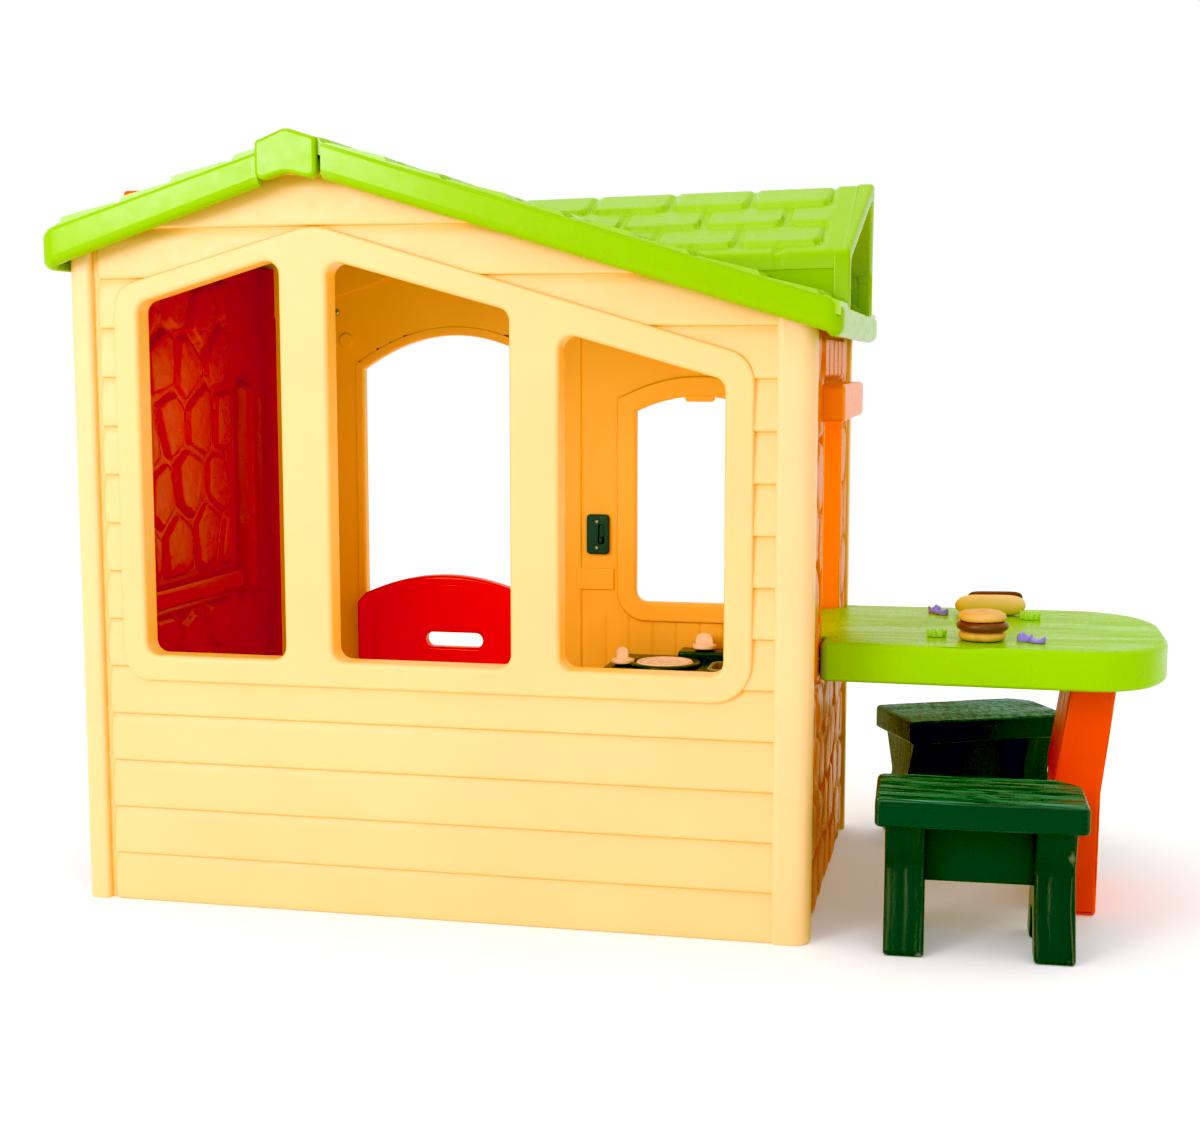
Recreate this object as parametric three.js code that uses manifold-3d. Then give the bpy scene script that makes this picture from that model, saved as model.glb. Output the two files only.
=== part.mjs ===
// Plastic playhouse with a picnic table and two stools. Millimetres, +Z up, floor at Z = 0.
// House frame: X = 0 is the outer face of the left wall and +X runs towards the table,
// Y = 0 is the outer face of the front wall and +Y runs towards the doorway wall.
// The finished group is shifted so that its origin is the bottom centre of its bounding box.
import * as THREE from 'three';
import { mergeVertices } from 'three/addons/utils/BufferGeometryUtils.js';
import Module from 'manifold-3d';

const wasm = await Module();
wasm.setup();

// ---------------------------------------------------------------- driving dimensions
const GAP = 0.3;                 // clearance between pieces that touch
const OVERRUN = 20;              // how far a cutter reaches beyond the face it cuts

const HOUSE_WIDTH = 1169;        // outside of the left wall to outside of the right wall
const HOUSE_DEPTH = 720;         // outside of the front wall to outside of the doorway wall
const HOUSE_MID_Y = HOUSE_DEPTH / 2;
const WALL = 45;                 // thickness of every wall panel
const POST_WIDTH = 57;           // corner posts moulded into the front and doorway walls
const BOARD_PITCH = 76.2;        // height of one clapboard
const BOARD_LIP_DEPTH = 3;       // how far a board's lower edge lies behind the posts
const BOARD_TOP_DEPTH = 9;       // how far its upper edge lies behind them

const SLOPE = 0.31;              // rise over run of both roof slopes
const RIDGE_X = 388;
const RIDGE_Z = 1201;            // top of the long right slope, carried to the ridge
const LEFT_DROP = 12;            // the short left slope lies this much lower
const ROOF_OVERHANG = 40;        // roof beyond the front and doorway walls
const ROOF_SLAB = 20;
const FASCIA_DEPTH = 54;
const FASCIA_THICK = 20;
const EAVE_LEFT_X = -12;
const EAVE_RIM_LEFT = 11;        // the left wall stands just behind the left eave
const EAVE_RIGHT_X = 1210;
const COURSE_PITCH = 92;         // run of one course of shingles
const COURSE_STEP = 6;           // height of the step at its lower edge
const CAP_LEFT_X = 337;          // ridge cap
const CAP_RIGHT_X = 434;
const CAP_RISE = 6;

const DORMER_TOP_Z = 1144;
const DORMER_SLOPE = 0.465;
const DORMER_START_X = 590;
const DORMER_HALF_WIDTH = 262;    // to its upright side walls
const DORMER_WALL_START_X = 940; // these come out of the slope here
const DORMER_PROW = 15;          // the dormer's ridge reaches this far past its eaves
const DORMER_SHELL = 18;

const WINDOW_SILL_Z = 402;
const FRAME_BOTTOM_Z = 361;      // raised surround around the three front windows
const FRAME_LEFT_X = 79;
const FRAME_RIGHT_X = 1081;
const FRAME_APEX = [409, 1070];
const FRAME_SLOPE_LEFT = 0.281;
const FRAME_SLOPE_RIGHT = 0.298;
const FRONT_WINDOWS = [
  { left: 119, right: 352, topLeft: 953, topRight: 1021 },
  { left: 430, right: 714, topLeft: 1017, topRight: 938 },
  { left: 791, right: 1038, topLeft: 907, topRight: 836 },
];

const DOORWAY = { left: 243, right: 609, spring: 849, rise: 64, threshold: 40 };
const BACK_WINDOW = { left: 775, right: 1010, sill: 416, spring: 772, rise: 28 };
const SERVING_WINDOW = { near: 194, far: 526, sill: 373, top: 770 };
const TRIM_WIDTH = 34;           // raised border round the doorway and the window beside it
const BACK_RECESS = { left: 670, depth: 4, bottom: 60, top: 900 };   // sunk field inside the doorway wall
const RECESS_PAD = { left: 670, right: 732, bottom: 437, top: 477 };
const WALL_BOSS = { x: 209, z: 904, radius: 14 };

const BREAST = { outer: -40, near: 300, far: 420, top: 1118 };       // chimney breast outside the left wall
const NICHE = { left: 515, right: 645, spring: 790, rise: 57, bottom: 418, depth: 10 };
const NICHE_COLUMN = { y: 572, radius: 21, bottom: 424, top: 824 };
const MANTEL = { near: 150, far: 500, bottom: 440, top: 484, reach: 24 };
const CORNER_FLANGE = { width: 22, near: 60, far: 655 };             // upright strips in the corners of the left wall
const CHIMNEY_CAP = { outer: -50, inner: 16, margin: 10, top: 1154, rim: 14, floor: 1136 };
const RIGHT_WALL_X = HOUSE_WIDTH - 10;                               // the right wall stands back between its posts
const HEADER = { margin: 34, bottom: 772, top: 829, reach: 36 };     // over the serving window

const STONE_JOINT = 9;           // sunk joint between two stones
const STONE_CORNER = 24;

const TABLE_TOP_Z = 436;
const TABLE_THICK = 61;
const TABLE_END_X = 1693;
const TABLE_HALF_WIDTH = 219;
const TABLE_FLARE = 9;           // the table is this much wider at its outer corners, each side
const TABLE_WALL_X = HOUSE_WIDTH - 2;
const TABLE_TONGUE = { near: 202, far: 518, inner: 1112 };   // part of the tabletop inside the serving window
const TABLE_NOTCH = { width: 6, length: 24 };
const TABLE_LEG = { halfWidth: 120, groovePitch: 34, grooveWidth: 7 };
const STOOL_SEAT_Z = 235;
const STOOL_SEAT = { halfLength: 152, halfWidth: 87, thick: 42 };
const STOOL_LEG = { halfFoot: 86, halfWaist: 46, waistZ: 134, halfTop: 70, inner: 78, outer: 137 };
const FRONT_STOOL = { x: 1413, y: 72, turn: 2 };
const BACK_STOOL = { x: 1395, y: 690, turn: 26 };

const DOOR = { axisX: 248, axisY: 657, halfThick: 14, right: 594, bottom: 60, shoulder: 406, crown: 460 };
const DOOR_HANDLE = { left: 371, right: 484, bottom: 322, top: 350 };   // slot for a hand
const DOOR_LUGS = [[118, 166], [235, 283]];   // lower and upper lug, bottom and top
const DOOR_CLEARANCE = 3;        // room between a lug and the notch it sits in
const PIVOT_RADIUS = 4;
const PIVOT_REACH = 20;          // a pin's length beyond each end of its lug
const LUG_RADIUS = 11;

const CRADLE = { left: 681, right: 724, bottom: 504, top: 579, thick: 9, screwX: 701, screwsZ: [517, 566] };
const CRADLE_SLOT = { left: 704, right: 714, bottom: 524, top: 560, floor: 4 };
const CRADLE_HOOK = { left: 705.5, right: 712.5, bottom: 527, top: 536, reach: 16 };
const CRADLE_SCREW_RADIUS = 1.9;

const KITCHEN = { left: 744, right: 1122, front: 486, back: 673, top: 318, ledgeTop: 334 };
const LEDGE = { left: 864, front: 617 };      // raised back part of the worktop
const TOE_SPACE = { depth: 22, height: 40 };
const OVEN_DOOR = { left: 784, right: 900, bottom: 70, top: 270, proud: 8 };
const OVEN_HANDLE = { left: 804, right: 880, bottom: 236, top: 250, proud: 20 };
const BURNER = { x: 851, y: 562, radius: 54 };
const KNOB_LEFT = { x: 776, y: 548, z: KITCHEN.top, radius: 21, fin: 11 };
const KNOB_RIGHT = { x: 911, y: 643, z: KITCHEN.ledgeTop, radius: 23, fin: 17 };
const KNOB_STEM_RADIUS = 6;
const KNOB_BORE_DEPTH = 26;
const BASIN = { left: 938, right: 1098, front: 508, back: 598, depth: 70, wall: 4, drainRadius: 9 };
const SEAT_SINK = 3;             // depth of the round seat under the burner

const WALL_INNER_BACK = HOUSE_DEPTH - WALL + GAP;
const WALL_MID_FRONT = WALL / 2;
const WALL_MID_BACK = HOUSE_DEPTH - WALL / 2;
const BACK_RECESS_Y = WALL_INNER_BACK + BACK_RECESS.depth;

// ---------------------------------------------------------------- materials
function plastic(color, roughness = 0.45) {
  return new THREE.MeshStandardMaterial({ color, roughness, metalness: 0 });
}
const YELLOW = plastic(0xffdc82);
const LIME = plastic(0x9ad800);
const TERRACOTTA = plastic(0xe2541c);
const DEEP_RED = plastic(0xb01205);
const DOOR_RED = plastic(0xe3000f);
const ORANGE = plastic(0xff4a10);
const DARK_GREEN = plastic(0x075233);
const TEAL = plastic(0x0b3f4d);
const BEIGE = plastic(0xf5e6d3);
const GREY = plastic(0x8d8f8a);
const STEEL = new THREE.MeshStandardMaterial({ color: 0x9a9a9a, roughness: 0.35, metalness: 1 });
const BUN = plastic(0xe3a355);
const MEAT = plastic(0x6d2a10);
const SAUSAGE = plastic(0x7d1408);
const LETTUCE = plastic(0xa9dd5c);
const ONION = plastic(0x8b74d4);

// ---------------------------------------------------------------- solids
const AXES = {
  // profile's first axis, profile's second axis, extrusion axis
  XY: [[1, 0, 0], [0, 1, 0], [0, 0, 1]],
  XZ: [[1, 0, 0], [0, 0, 1], [0, -1, 0]],
  YZ: [[0, 1, 0], [0, 0, 1], [1, 0, 0]],
};

// Closed geometry to boolean solid.
function solid(geometry) {
  const bare = geometry.clone();
  bare.deleteAttribute('normal');
  bare.deleteAttribute('uv');
  const merged = mergeVertices(bare, 1e-4);
  return new wasm.Manifold(new wasm.Mesh({
    numProp: 3,
    vertProperties: new Float32Array(merged.attributes.position.array),
    triVerts: new Uint32Array(merged.index.array),
  }));
}

// Straight extrusion of a flat outline. from < to are places along the third axis.
function prism(plane, outline, from, to) {
  const shape = new THREE.Shape(outline.map(([u, v]) => new THREE.Vector2(u, v)));
  const geometry = new THREE.ExtrudeGeometry(shape, { depth: to - from, bevelEnabled: false });
  const basis = new THREE.Matrix4().makeBasis(...AXES[plane].map((axis) => new THREE.Vector3(...axis)));
  geometry.applyMatrix4(basis);
  if (plane === 'XZ') geometry.translate(0, to, 0);
  if (plane === 'XY') geometry.translate(0, 0, from);
  if (plane === 'YZ') geometry.translate(from, 0, 0);
  return solid(geometry);
}

function box(x0, x1, y0, y1, z0, z1) {
  const geometry = new THREE.BoxGeometry(x1 - x0, y1 - y0, z1 - z0);
  geometry.translate((x0 + x1) / 2, (y0 + y1) / 2, (z0 + z1) / 2);
  return solid(geometry);
}

// Body of revolution about a vertical axis through x, y. The profile is [radius, z] pairs.
function turned(profile, x, y, segments = 24) {
  const points = profile.map(([r, z]) => new THREE.Vector2(r, z));
  const geometry = new THREE.LatheGeometry(points, segments);
  geometry.rotateX(Math.PI / 2);
  geometry.translate(x, y, 0);
  return solid(geometry);
}

// Upright round bar through x, y.
function disc({ x, y }, radius, z0, z1, segments) {
  return turned([[0, z0], [radius, z0], [radius, z1], [0, z1]], x, y, segments);
}

function join(first, ...others) {
  return others.reduce((sum, other) => sum.add(other), first);
}

function cut(first, ...others) {
  return others.reduce((rest, other) => rest.subtract(other), first);
}

// Boolean solid to named mesh.
function meshOf(name, body, material) {
  const { vertProperties, triVerts } = body.getMesh();
  const geometry = new THREE.BufferGeometry();
  geometry.setAttribute('position', new THREE.BufferAttribute(new Float32Array(vertProperties), 3));
  geometry.setIndex(new THREE.BufferAttribute(new Uint32Array(triVerts), 1));
  geometry.computeVertexNormals();
  const mesh = new THREE.Mesh(geometry, material);
  mesh.name = name;
  return mesh;
}

// ---------------------------------------------------------------- outlines
// Polygon whose corners are rounded: corners are [u, v, radius].
function rounded(corners, steps = 4) {
  const points = [];
  corners.forEach(([u, v, radius = 0], i) => {
    const here = new THREE.Vector2(u, v);
    const before = new THREE.Vector2(...corners.at(i - 1)).sub(here).normalize();
    const after = new THREE.Vector2(...corners[(i + 1) % corners.length]).sub(here).normalize();
    if (!radius) {
      points.push([u, v]);
      return;
    }
    const half = Math.acos(THREE.MathUtils.clamp(before.dot(after), -1, 1)) / 2;
    const start = here.clone().addScaledVector(before, radius / Math.tan(half));
    const end = here.clone().addScaledVector(after, radius / Math.tan(half));
    for (let k = 0; k <= steps; k += 1) {
      // a quadratic curve through the corner is close to the arc for these openings
      const t = k / steps;
      points.push([
        (1 - t) ** 2 * start.x + 2 * t * (1 - t) * here.x + t ** 2 * end.x,
        (1 - t) ** 2 * start.y + 2 * t * (1 - t) * here.y + t ** 2 * end.y,
      ]);
    }
  });
  return points;
}

function rectangle(u0, u1, v0, v1, radius = 0, steps = 4) {
  return rounded([[u0, v0, radius], [u1, v0, radius], [u1, v1, radius], [u0, v1, radius]], steps);
}

// Opening with upright jambs and a low arched head.
function arched({ left, right, spring, rise }, bottom, radius, steps = 10) {
  const points = radius
    ? rounded([[left, spring], [left, bottom, radius], [right, bottom, radius], [right, spring]])
    : [[left, spring], [left, bottom], [right, bottom], [right, spring]];
  const middle = (left + right) / 2;
  const half = (right - left) / 2;
  for (let k = 1; k < steps; k += 1) {
    const t = 1 - (2 * k) / steps;
    points.push([middle + half * t, spring + rise * (1 - t * t)]);
  }
  return points;
}

function circle(x, y, radius, steps = 16) {
  return Array.from({ length: steps }, (_, i) => {
    const angle = (2 * Math.PI * i) / steps;
    return [x + radius * Math.cos(angle), y + radius * Math.sin(angle)];
  });
}

// ---------------------------------------------------------------- roof lines
function roofTop(x) {
  return x < RIDGE_X
    ? RIDGE_Z - LEFT_DROP - SLOPE * (RIDGE_X - x)
    : RIDGE_Z - SLOPE * (x - RIDGE_X);
}

function wallTop(x) {
  return roofTop(x) - ROOF_SLAB - COURSE_STEP - GAP;
}

// ---------------------------------------------------------------- walls
// End wall blank, seen from the front: five-sided, ending just under the roof.
function gableWall(y0, y1) {
  return prism('XZ', [
    [0, 0], [HOUSE_WIDTH, 0], [HOUSE_WIDTH, wallTop(HOUSE_WIDTH)],
    [RIDGE_X + 1, wallTop(RIDGE_X + 1) - LEFT_DROP], [0, wallTop(0)],
  ], y0, y1);
}

// Everything outside the lapped boards, as a profile across the wall. face is the post's outer
// face, and inward is +1 or -1.
function boardRelief(face, inward, x0, x1) {
  const outside = face - OVERRUN * inward;
  const profile = [[outside, -1]];
  for (let z = 0; z < RIDGE_Z; z += BOARD_PITCH) {
    profile.push([face + BOARD_LIP_DEPTH * inward, z - 1]);
    profile.push([face + BOARD_TOP_DEPTH * inward, z + BOARD_PITCH - 2]);
  }
  profile.push([outside, profile.at(-1)[1]]);
  if (inward < 0) profile.reverse();
  return prism('YZ', profile, x0, x1);
}

function frameOutline() {
  const [apexX, apexZ] = FRAME_APEX;
  return rounded([
    [FRAME_LEFT_X, FRAME_BOTTOM_Z, 40], [FRAME_RIGHT_X, FRAME_BOTTOM_Z, 60],
    [FRAME_RIGHT_X, apexZ - FRAME_SLOPE_RIGHT * (FRAME_RIGHT_X - apexX), 45],
    [apexX, apexZ, 60],
    [FRAME_LEFT_X, apexZ - FRAME_SLOPE_LEFT * (apexX - FRAME_LEFT_X), 40],
  ]);
}

function frontWindow({ left, right, topLeft, topRight }) {
  const corner = 20;
  return prism('XZ', rounded([
    [left, WINDOW_SILL_Z, corner], [right, WINDOW_SILL_Z, corner],
    [right, topRight, corner], [left, topLeft, corner],
  ]), -OVERRUN, WALL + OVERRUN);
}

function makeFrontWall() {
  const frame = prism('XZ', frameOutline(), -OVERRUN - 1, WALL);
  const relief = boardRelief(0, 1, POST_WIDTH, HOUSE_WIDTH - POST_WIDTH).subtract(frame);
  return cut(gableWall(0, WALL - GAP), relief, ...FRONT_WINDOWS.map(frontWindow));
}

function doorLug([z0, z1]) {
  const { axisX, axisY } = DOOR;
  const wallFace = HOUSE_DEPTH - WALL;
  const eye = prism('XY', circle(axisX, axisY, LUG_RADIUS), z0, z1);
  const arm = box(axisX - LUG_RADIUS, axisX + LUG_RADIUS - 2, axisY, wallFace + 5, z0, z1);
  const bore = prism('XY', circle(axisX, axisY, PIVOT_RADIUS + GAP, 12), z0 - 1, z1 + 1);
  return cut(join(eye, arm), bore);
}

// The same opening, larger by the width of its trim.
function trimmed(opening) {
  return {
    ...opening,
    left: opening.left - TRIM_WIDTH,
    right: opening.right + TRIM_WIDTH,
    rise: opening.rise + TRIM_WIDTH,
  };
}

function makeBackWall() {
  const inner = WALL_INNER_BACK;
  const through = [inner - OVERRUN, HOUSE_DEPTH + OVERRUN + 1];
  const doorway = prism('XZ', arched(DOORWAY, DOORWAY.threshold, 0), ...through);
  const window = prism('XZ', arched(BACK_WINDOW, BACK_WINDOW.sill, 20), ...through);
  const doorTrim = prism('XZ', arched(trimmed(DOORWAY), 0, 0), ...through);
  const windowTrim = prism('XZ', arched(trimmed(BACK_WINDOW), BACK_WINDOW.sill - TRIM_WIDTH, 30), ...through);
  const relief = cut(
    boardRelief(HOUSE_DEPTH, -1, POST_WIDTH, HOUSE_WIDTH - POST_WIDTH), doorTrim, windowTrim,
  );
  const { left, depth, bottom, top } = BACK_RECESS;
  const recess = box(left, HOUSE_WIDTH - WALL - 5, inner - OVERRUN + 1, inner + depth, bottom, top);
  const pad = box(RECESS_PAD.left, RECESS_PAD.right, ...through, RECESS_PAD.bottom, RECESS_PAD.top);
  const boss = prism('XZ', circle(WALL_BOSS.x, WALL_BOSS.z, WALL_BOSS.radius, 12), inner - 3, inner + 3);
  const wall = cut(gableWall(inner, HOUSE_DEPTH), relief, cut(recess, windowTrim, pad), doorway, window);
  return join(wall, boss, ...DOOR_LUGS.map(doorLug));
}

// Rows of stones from heights, each row with its stones' shares of the width in turn.
function stoneRows(heights, shares) {
  return heights.slice(1).map((top, i) => [heights[i], top, shares[i % shares.length]]);
}

// Raised rounded stones on a wall face. rows is a list of [z0, z1, shares]; the stones of a row
// share the width between y0 and y1 in those proportions.
function stones(rows, y0, y1, x0, x1) {
  return rows.flatMap(([z0, z1, shares]) => {
    const total = shares.reduce((sum, share) => sum + share, 0);
    let start = y0;
    return shares.map((share) => {
      const end = start + ((y1 - y0) * share) / total;
      const corner = Math.min(STONE_CORNER, 0.4 * (end - STONE_JOINT - start));
      const outline = rectangle(start, end - STONE_JOINT, z0, z1 - STONE_JOINT, corner, 2);
      start = end;
      return prism('YZ', outline, x0, x1);
    });
  });
}

function makeLeftWall() {
  const { outer, near, far, top } = BREAST;
  const panel = box(0, WALL, WALL + GAP, HOUSE_DEPTH - WALL - GAP, 0, 1032);
  const breast = box(outer, 1, near, far, 0, top);
  const niche = prism('YZ', arched(NICHE, NICHE.bottom, 10), WALL - NICHE.depth, WALL + OVERRUN);
  const column = prism(
    'XY', circle(WALL - 6, NICHE_COLUMN.y, NICHE_COLUMN.radius, 16), NICHE_COLUMN.bottom, NICHE_COLUMN.top,
  );
  const mantel = box(WALL - 5, WALL + MANTEL.reach, MANTEL.near, MANTEL.far, MANTEL.bottom, MANTEL.top);
  const inside = stones(
    stoneRows([490, 590, 700, 800, 900, 1010], [[2, 3, 2], [3, 2, 3], [2, 3, 3]]), 165, 488, WALL - 3, WALL + 6,
  );
  const outside = stones(
    stoneRows([20, 110, 200, 290, 380, 470, 560, 650, 740, 830, 920, 1010, 1110], [[1], [3, 2], [2, 3]]),
    near + 8, far, outer - 6, outer + 5,
  );
  const flanges = [[WALL + GAP, CORNER_FLANGE.near], [CORNER_FLANGE.far, HOUSE_DEPTH - WALL - GAP]]
    .map(([y0, y1]) => box(WALL - 1, WALL + CORNER_FLANGE.width, y0, y1, 0, 1032));
  return join(cut(panel, niche), column, breast, mantel, ...flanges, ...inside, ...outside);
}

function makeChimneyCap() {
  const { outer, inner, margin, top, rim, floor } = CHIMNEY_CAP;
  const near = BREAST.near - margin;
  const far = BREAST.far + margin;
  const block = box(outer, inner, near, far, BREAST.top + GAP, top);
  return cut(block, box(outer + rim, inner - rim, near + rim, far - rim, floor, top + OVERRUN));
}

function makeRightWall() {
  const x0 = HOUSE_WIDTH - WALL;
  const { near, far, sill, top } = SERVING_WINDOW;
  const outer = RIGHT_WALL_X;
  const panel = box(x0, outer, WALL + GAP, HOUSE_DEPTH - WALL - GAP, 0, 928);
  const window = prism('YZ', rectangle(near, far, sill, top, 14), x0 - OVERRUN, HOUSE_WIDTH + 2 * OVERRUN);
  const header = prism(
    'YZ', rectangle(near - HEADER.margin, far + HEADER.margin, HEADER.bottom, HEADER.top, 10),
    outer - 5, outer + HEADER.reach,
  );
  const bricks = stones([[836, 912, [1, 1, 1, 1, 1]]], near - 30, far + 36, outer - 3, outer + 9);
  const face = [outer - 3, outer + 7];
  const belowTable = stoneRows([8, 100, 195, 290, 374], [[4, 3, 4, 3], [3, 4, 3, 4]]);
  const besideWindow = [...stoneRows([384, 480, 580, 680, 765], [[1]]), [840, 915, [1]]];
  return join(
    cut(panel, window), header, ...bricks,
    ...stones(belowTable, 52, 676, ...face),
    ...stones(besideWindow, 54, near - 12, ...face),
    ...stones(besideWindow, far + 20, 676, ...face),
  );
}

// ---------------------------------------------------------------- roof
// Upper edge of a stepped roof slope as [x, z] points from the eave up to the ridge. The courses
// stop at the ridge cap, which lies flat on the slope.
function courses(eaveX, ridgeX) {
  const down = Math.sign(eaveX - ridgeX);
  const capX = down > 0 ? CAP_RIGHT_X : CAP_LEFT_X;
  const points = [];
  for (let x = eaveX - down * FASCIA_THICK; (x - capX) * down > COURSE_STEP; x -= down * COURSE_PITCH) {
    points.push([x, roofTop(x)]);
    points.push([x, roofTop(x) + COURSE_STEP]);
  }
  points.push([capX, roofTop(capX)], [ridgeX, roofTop(ridgeX)]);
  return points;
}

// Tabs under the roof drop into pockets in the front and doorway walls, where a screw holds each.
// The tabs in the front wall are shorter, to stay clear of its windows.
const TAB = { width: 44, thick: 12, screwAboveTip: 20, frontDrop: 92, backDrop: 170 };

function tabBox(x, wallMidY, drop, clearance) {
  const top = roofTop(x) - ROOF_SLAB + 8;
  const half = TAB.width / 2 + clearance;
  const halfThick = TAB.thick / 2 + clearance;
  const bottom = roofTop(x) - ROOF_SLAB - drop - clearance;
  return box(x - half, x + half, wallMidY - halfThick, wallMidY + halfThick, bottom, top + 40 * clearance);
}

function roofPanel(eaveX, ridgeX, rimThick) {
  const front = -ROOF_OVERHANG;
  const back = HOUSE_DEPTH + ROOF_OVERHANG;
  const down = Math.sign(eaveX - ridgeX);
  const eaveTop = roofTop(eaveX);
  const under = (x) => roofTop(x) - ROOF_SLAB;
  const order = (outline) => (down > 0 ? outline.reverse() : outline);
  const slab = prism('XZ', order([
    [eaveX, eaveTop], [eaveX, under(eaveX)], [ridgeX, under(ridgeX)], ...courses(eaveX, ridgeX).reverse(),
  ].reverse()), front + 5, back - 5);
  const fasciaOutline = order([
    [ridgeX, roofTop(ridgeX)], [ridgeX, roofTop(ridgeX) - FASCIA_DEPTH],
    [eaveX, eaveTop - FASCIA_DEPTH + 8], [eaveX, eaveTop],
  ].reverse());
  const inner = eaveX - down * rimThick;
  const rimBottom = eaveTop - FASCIA_DEPTH + 8;
  const rim = prism('XZ', order([
    [inner, roofTop(inner)], [inner, rimBottom], [eaveX, rimBottom], [eaveX, eaveTop],
  ].reverse()), front + 5, back - 5);
  return join(
    slab, rim,
    prism('XZ', fasciaOutline, front, front + FASCIA_THICK),
    prism('XZ', fasciaOutline, back - FASCIA_THICK, back),
  );
}

function ridgeCap() {
  const middle = (CAP_LEFT_X + CAP_RIGHT_X) / 2;
  const crown = RIDGE_Z + CAP_RISE;
  const sideTop = crown - 16;
  const front = -ROOF_OVERHANG - 6;
  const back = HOUSE_DEPTH + ROOF_OVERHANG + 6;
  const lower = (x) => roofTop(x) + GAP;
  const strip = prism('XZ', [
    [CAP_LEFT_X, roofTop(CAP_LEFT_X) - 1], [RIDGE_X, roofTop(RIDGE_X - 1) - 1], [RIDGE_X, lower(RIDGE_X)],
    [CAP_RIGHT_X, lower(CAP_RIGHT_X)], [CAP_RIGHT_X, sideTop], [middle, crown], [CAP_LEFT_X, sideTop - 4],
  ], front, back);
  const cheek = [
    [CAP_LEFT_X, sideTop - FASCIA_DEPTH], [middle, crown - FASCIA_DEPTH - 6],
    [CAP_RIGHT_X, sideTop - FASCIA_DEPTH],
    [CAP_RIGHT_X, sideTop], [middle, crown], [CAP_LEFT_X, sideTop - 4],
  ];
  return join(
    strip,
    prism('XZ', cheek, front, -ROOF_OVERHANG - GAP),
    prism('XZ', cheek, HOUSE_DEPTH + ROOF_OVERHANG + GAP, back),
  );
}

function makeRoofLeft() {
  const panel = roofPanel(EAVE_LEFT_X, RIDGE_X - GAP, EAVE_RIM_LEFT);
  const room = 4;
  const chimneyNotch = box(
    EAVE_LEFT_X - OVERRUN, room, BREAST.near - room, BREAST.far + room, BREAST.top - 200, RIDGE_Z + OVERRUN,
  );
  return cut(join(panel, ridgeCap()), chimneyNotch);
}

// Cross gable over the serving window: a three-cornered solid whose ridge leans outwards. inset
// gives the hollow under its skin, which also passes down through the roof slope.
function dormerPrism(inset) {
  const halfWidth = DORMER_HALF_WIDTH - inset / DORMER_SLOPE;
  const apexZ = DORMER_TOP_Z - inset;
  const baseZ = apexZ - halfWidth * DORMER_SLOPE;
  const start = DORMER_START_X + inset / SLOPE;
  const end = EAVE_RIGHT_X - 2 + (inset ? 40 : 0);
  const near = HOUSE_MID_Y - halfWidth;
  const far = HOUSE_MID_Y + halfWidth;
  const corners = [
    [start, near, baseZ], [start, far, baseZ], [start, HOUSE_MID_Y, apexZ - 12],
    [end, near, baseZ], [end, far, baseZ], [end + DORMER_PROW, HOUSE_MID_Y, apexZ + 4],
  ];
  const faces = [0, 2, 1, 3, 4, 5, 0, 1, 4, 0, 4, 3, 1, 2, 5, 1, 5, 4, 2, 0, 3, 2, 3, 5];
  const geometry = new THREE.BufferGeometry();
  geometry.setAttribute('position', new THREE.BufferAttribute(new Float32Array(corners.flat()), 3));
  geometry.setIndex(faces);
  return solid(geometry);
}

// Room between the side walls of the cross gable, under its slopes.
function dormerSkirt(inset) {
  const half = DORMER_HALF_WIDTH - inset;
  const slopeFoot = DORMER_TOP_Z - inset - DORMER_HALF_WIDTH * DORMER_SLOPE;
  const end = EAVE_RIGHT_X - 2 + (inset ? 40 : 0);
  const low = roofTop(EAVE_RIGHT_X) - FASCIA_DEPTH;
  return box(DORMER_WALL_START_X, end, HOUSE_MID_Y - half, HOUSE_MID_Y + half, low, slopeFoot + 1);
}

function makeRoofRight() {
  const panel = roofPanel(EAVE_RIGHT_X, RIDGE_X + GAP, FASCIA_THICK);
  const beyondEave = EAVE_RIGHT_X + 60;
  const belowRoof = prism('XZ', [
    [RIDGE_X, 0], [beyondEave, 0], [beyondEave, roofTop(beyondEave) - 2], [RIDGE_X, roofTop(RIDGE_X) - 2],
  ], 0, HOUSE_DEPTH);
  const shell = join(dormerPrism(0), dormerSkirt(0)).subtract(belowRoof);
  const hollow = join(dormerPrism(DORMER_SHELL), dormerSkirt(DORMER_SHELL).subtract(belowRoof));
  // plan of the hole in the slope: it widens towards the eave, up to the beam behind the fascia
  const beyondEaveZ = roofTop(EAVE_RIGHT_X) - 120;
  const holeStart = DORMER_START_X + 90;
  const holeEnd = EAVE_RIGHT_X - FASCIA_THICK;
  const holeHalf = DORMER_HALF_WIDTH - DORMER_SHELL / DORMER_SLOPE - 12;
  const hole = prism('XY', [
    [holeStart, HOUSE_MID_Y], [holeEnd, HOUSE_MID_Y - holeHalf], [holeEnd, HOUSE_MID_Y + holeHalf],
  ], beyondEaveZ, roofTop(holeStart) - 60);
  const beamBottom = roofTop(EAVE_RIGHT_X) - FASCIA_DEPTH;
  const beam = box(EAVE_RIGHT_X - FASCIA_THICK, beyondEave, 0, HOUSE_DEPTH, beamBottom, roofTop(EAVE_RIGHT_X));
  return cut(join(panel, shell), hollow.subtract(beam), hole);
}

// ---------------------------------------------------------------- half door
function doorOutline() {
  const { axisX, halfThick, right, bottom, shoulder, crown } = DOOR;
  const left = axisX - halfThick;
  const points = rounded([[left, bottom, 16], [right, bottom, 16], [right, shoulder, 14]]);
  const steps = 12;
  const reach = right - left - 16;
  const rim = shoulder + 16;
  for (let k = 1; k < steps; k += 1) {
    const t = 1 - (2 * k) / steps;
    points.push([(left + right) / 2 + (reach / 2) * t, rim + (crown - rim) * (1 - t * t)]);
  }
  points.push([left, shoulder]);
  return points;
}

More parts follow.
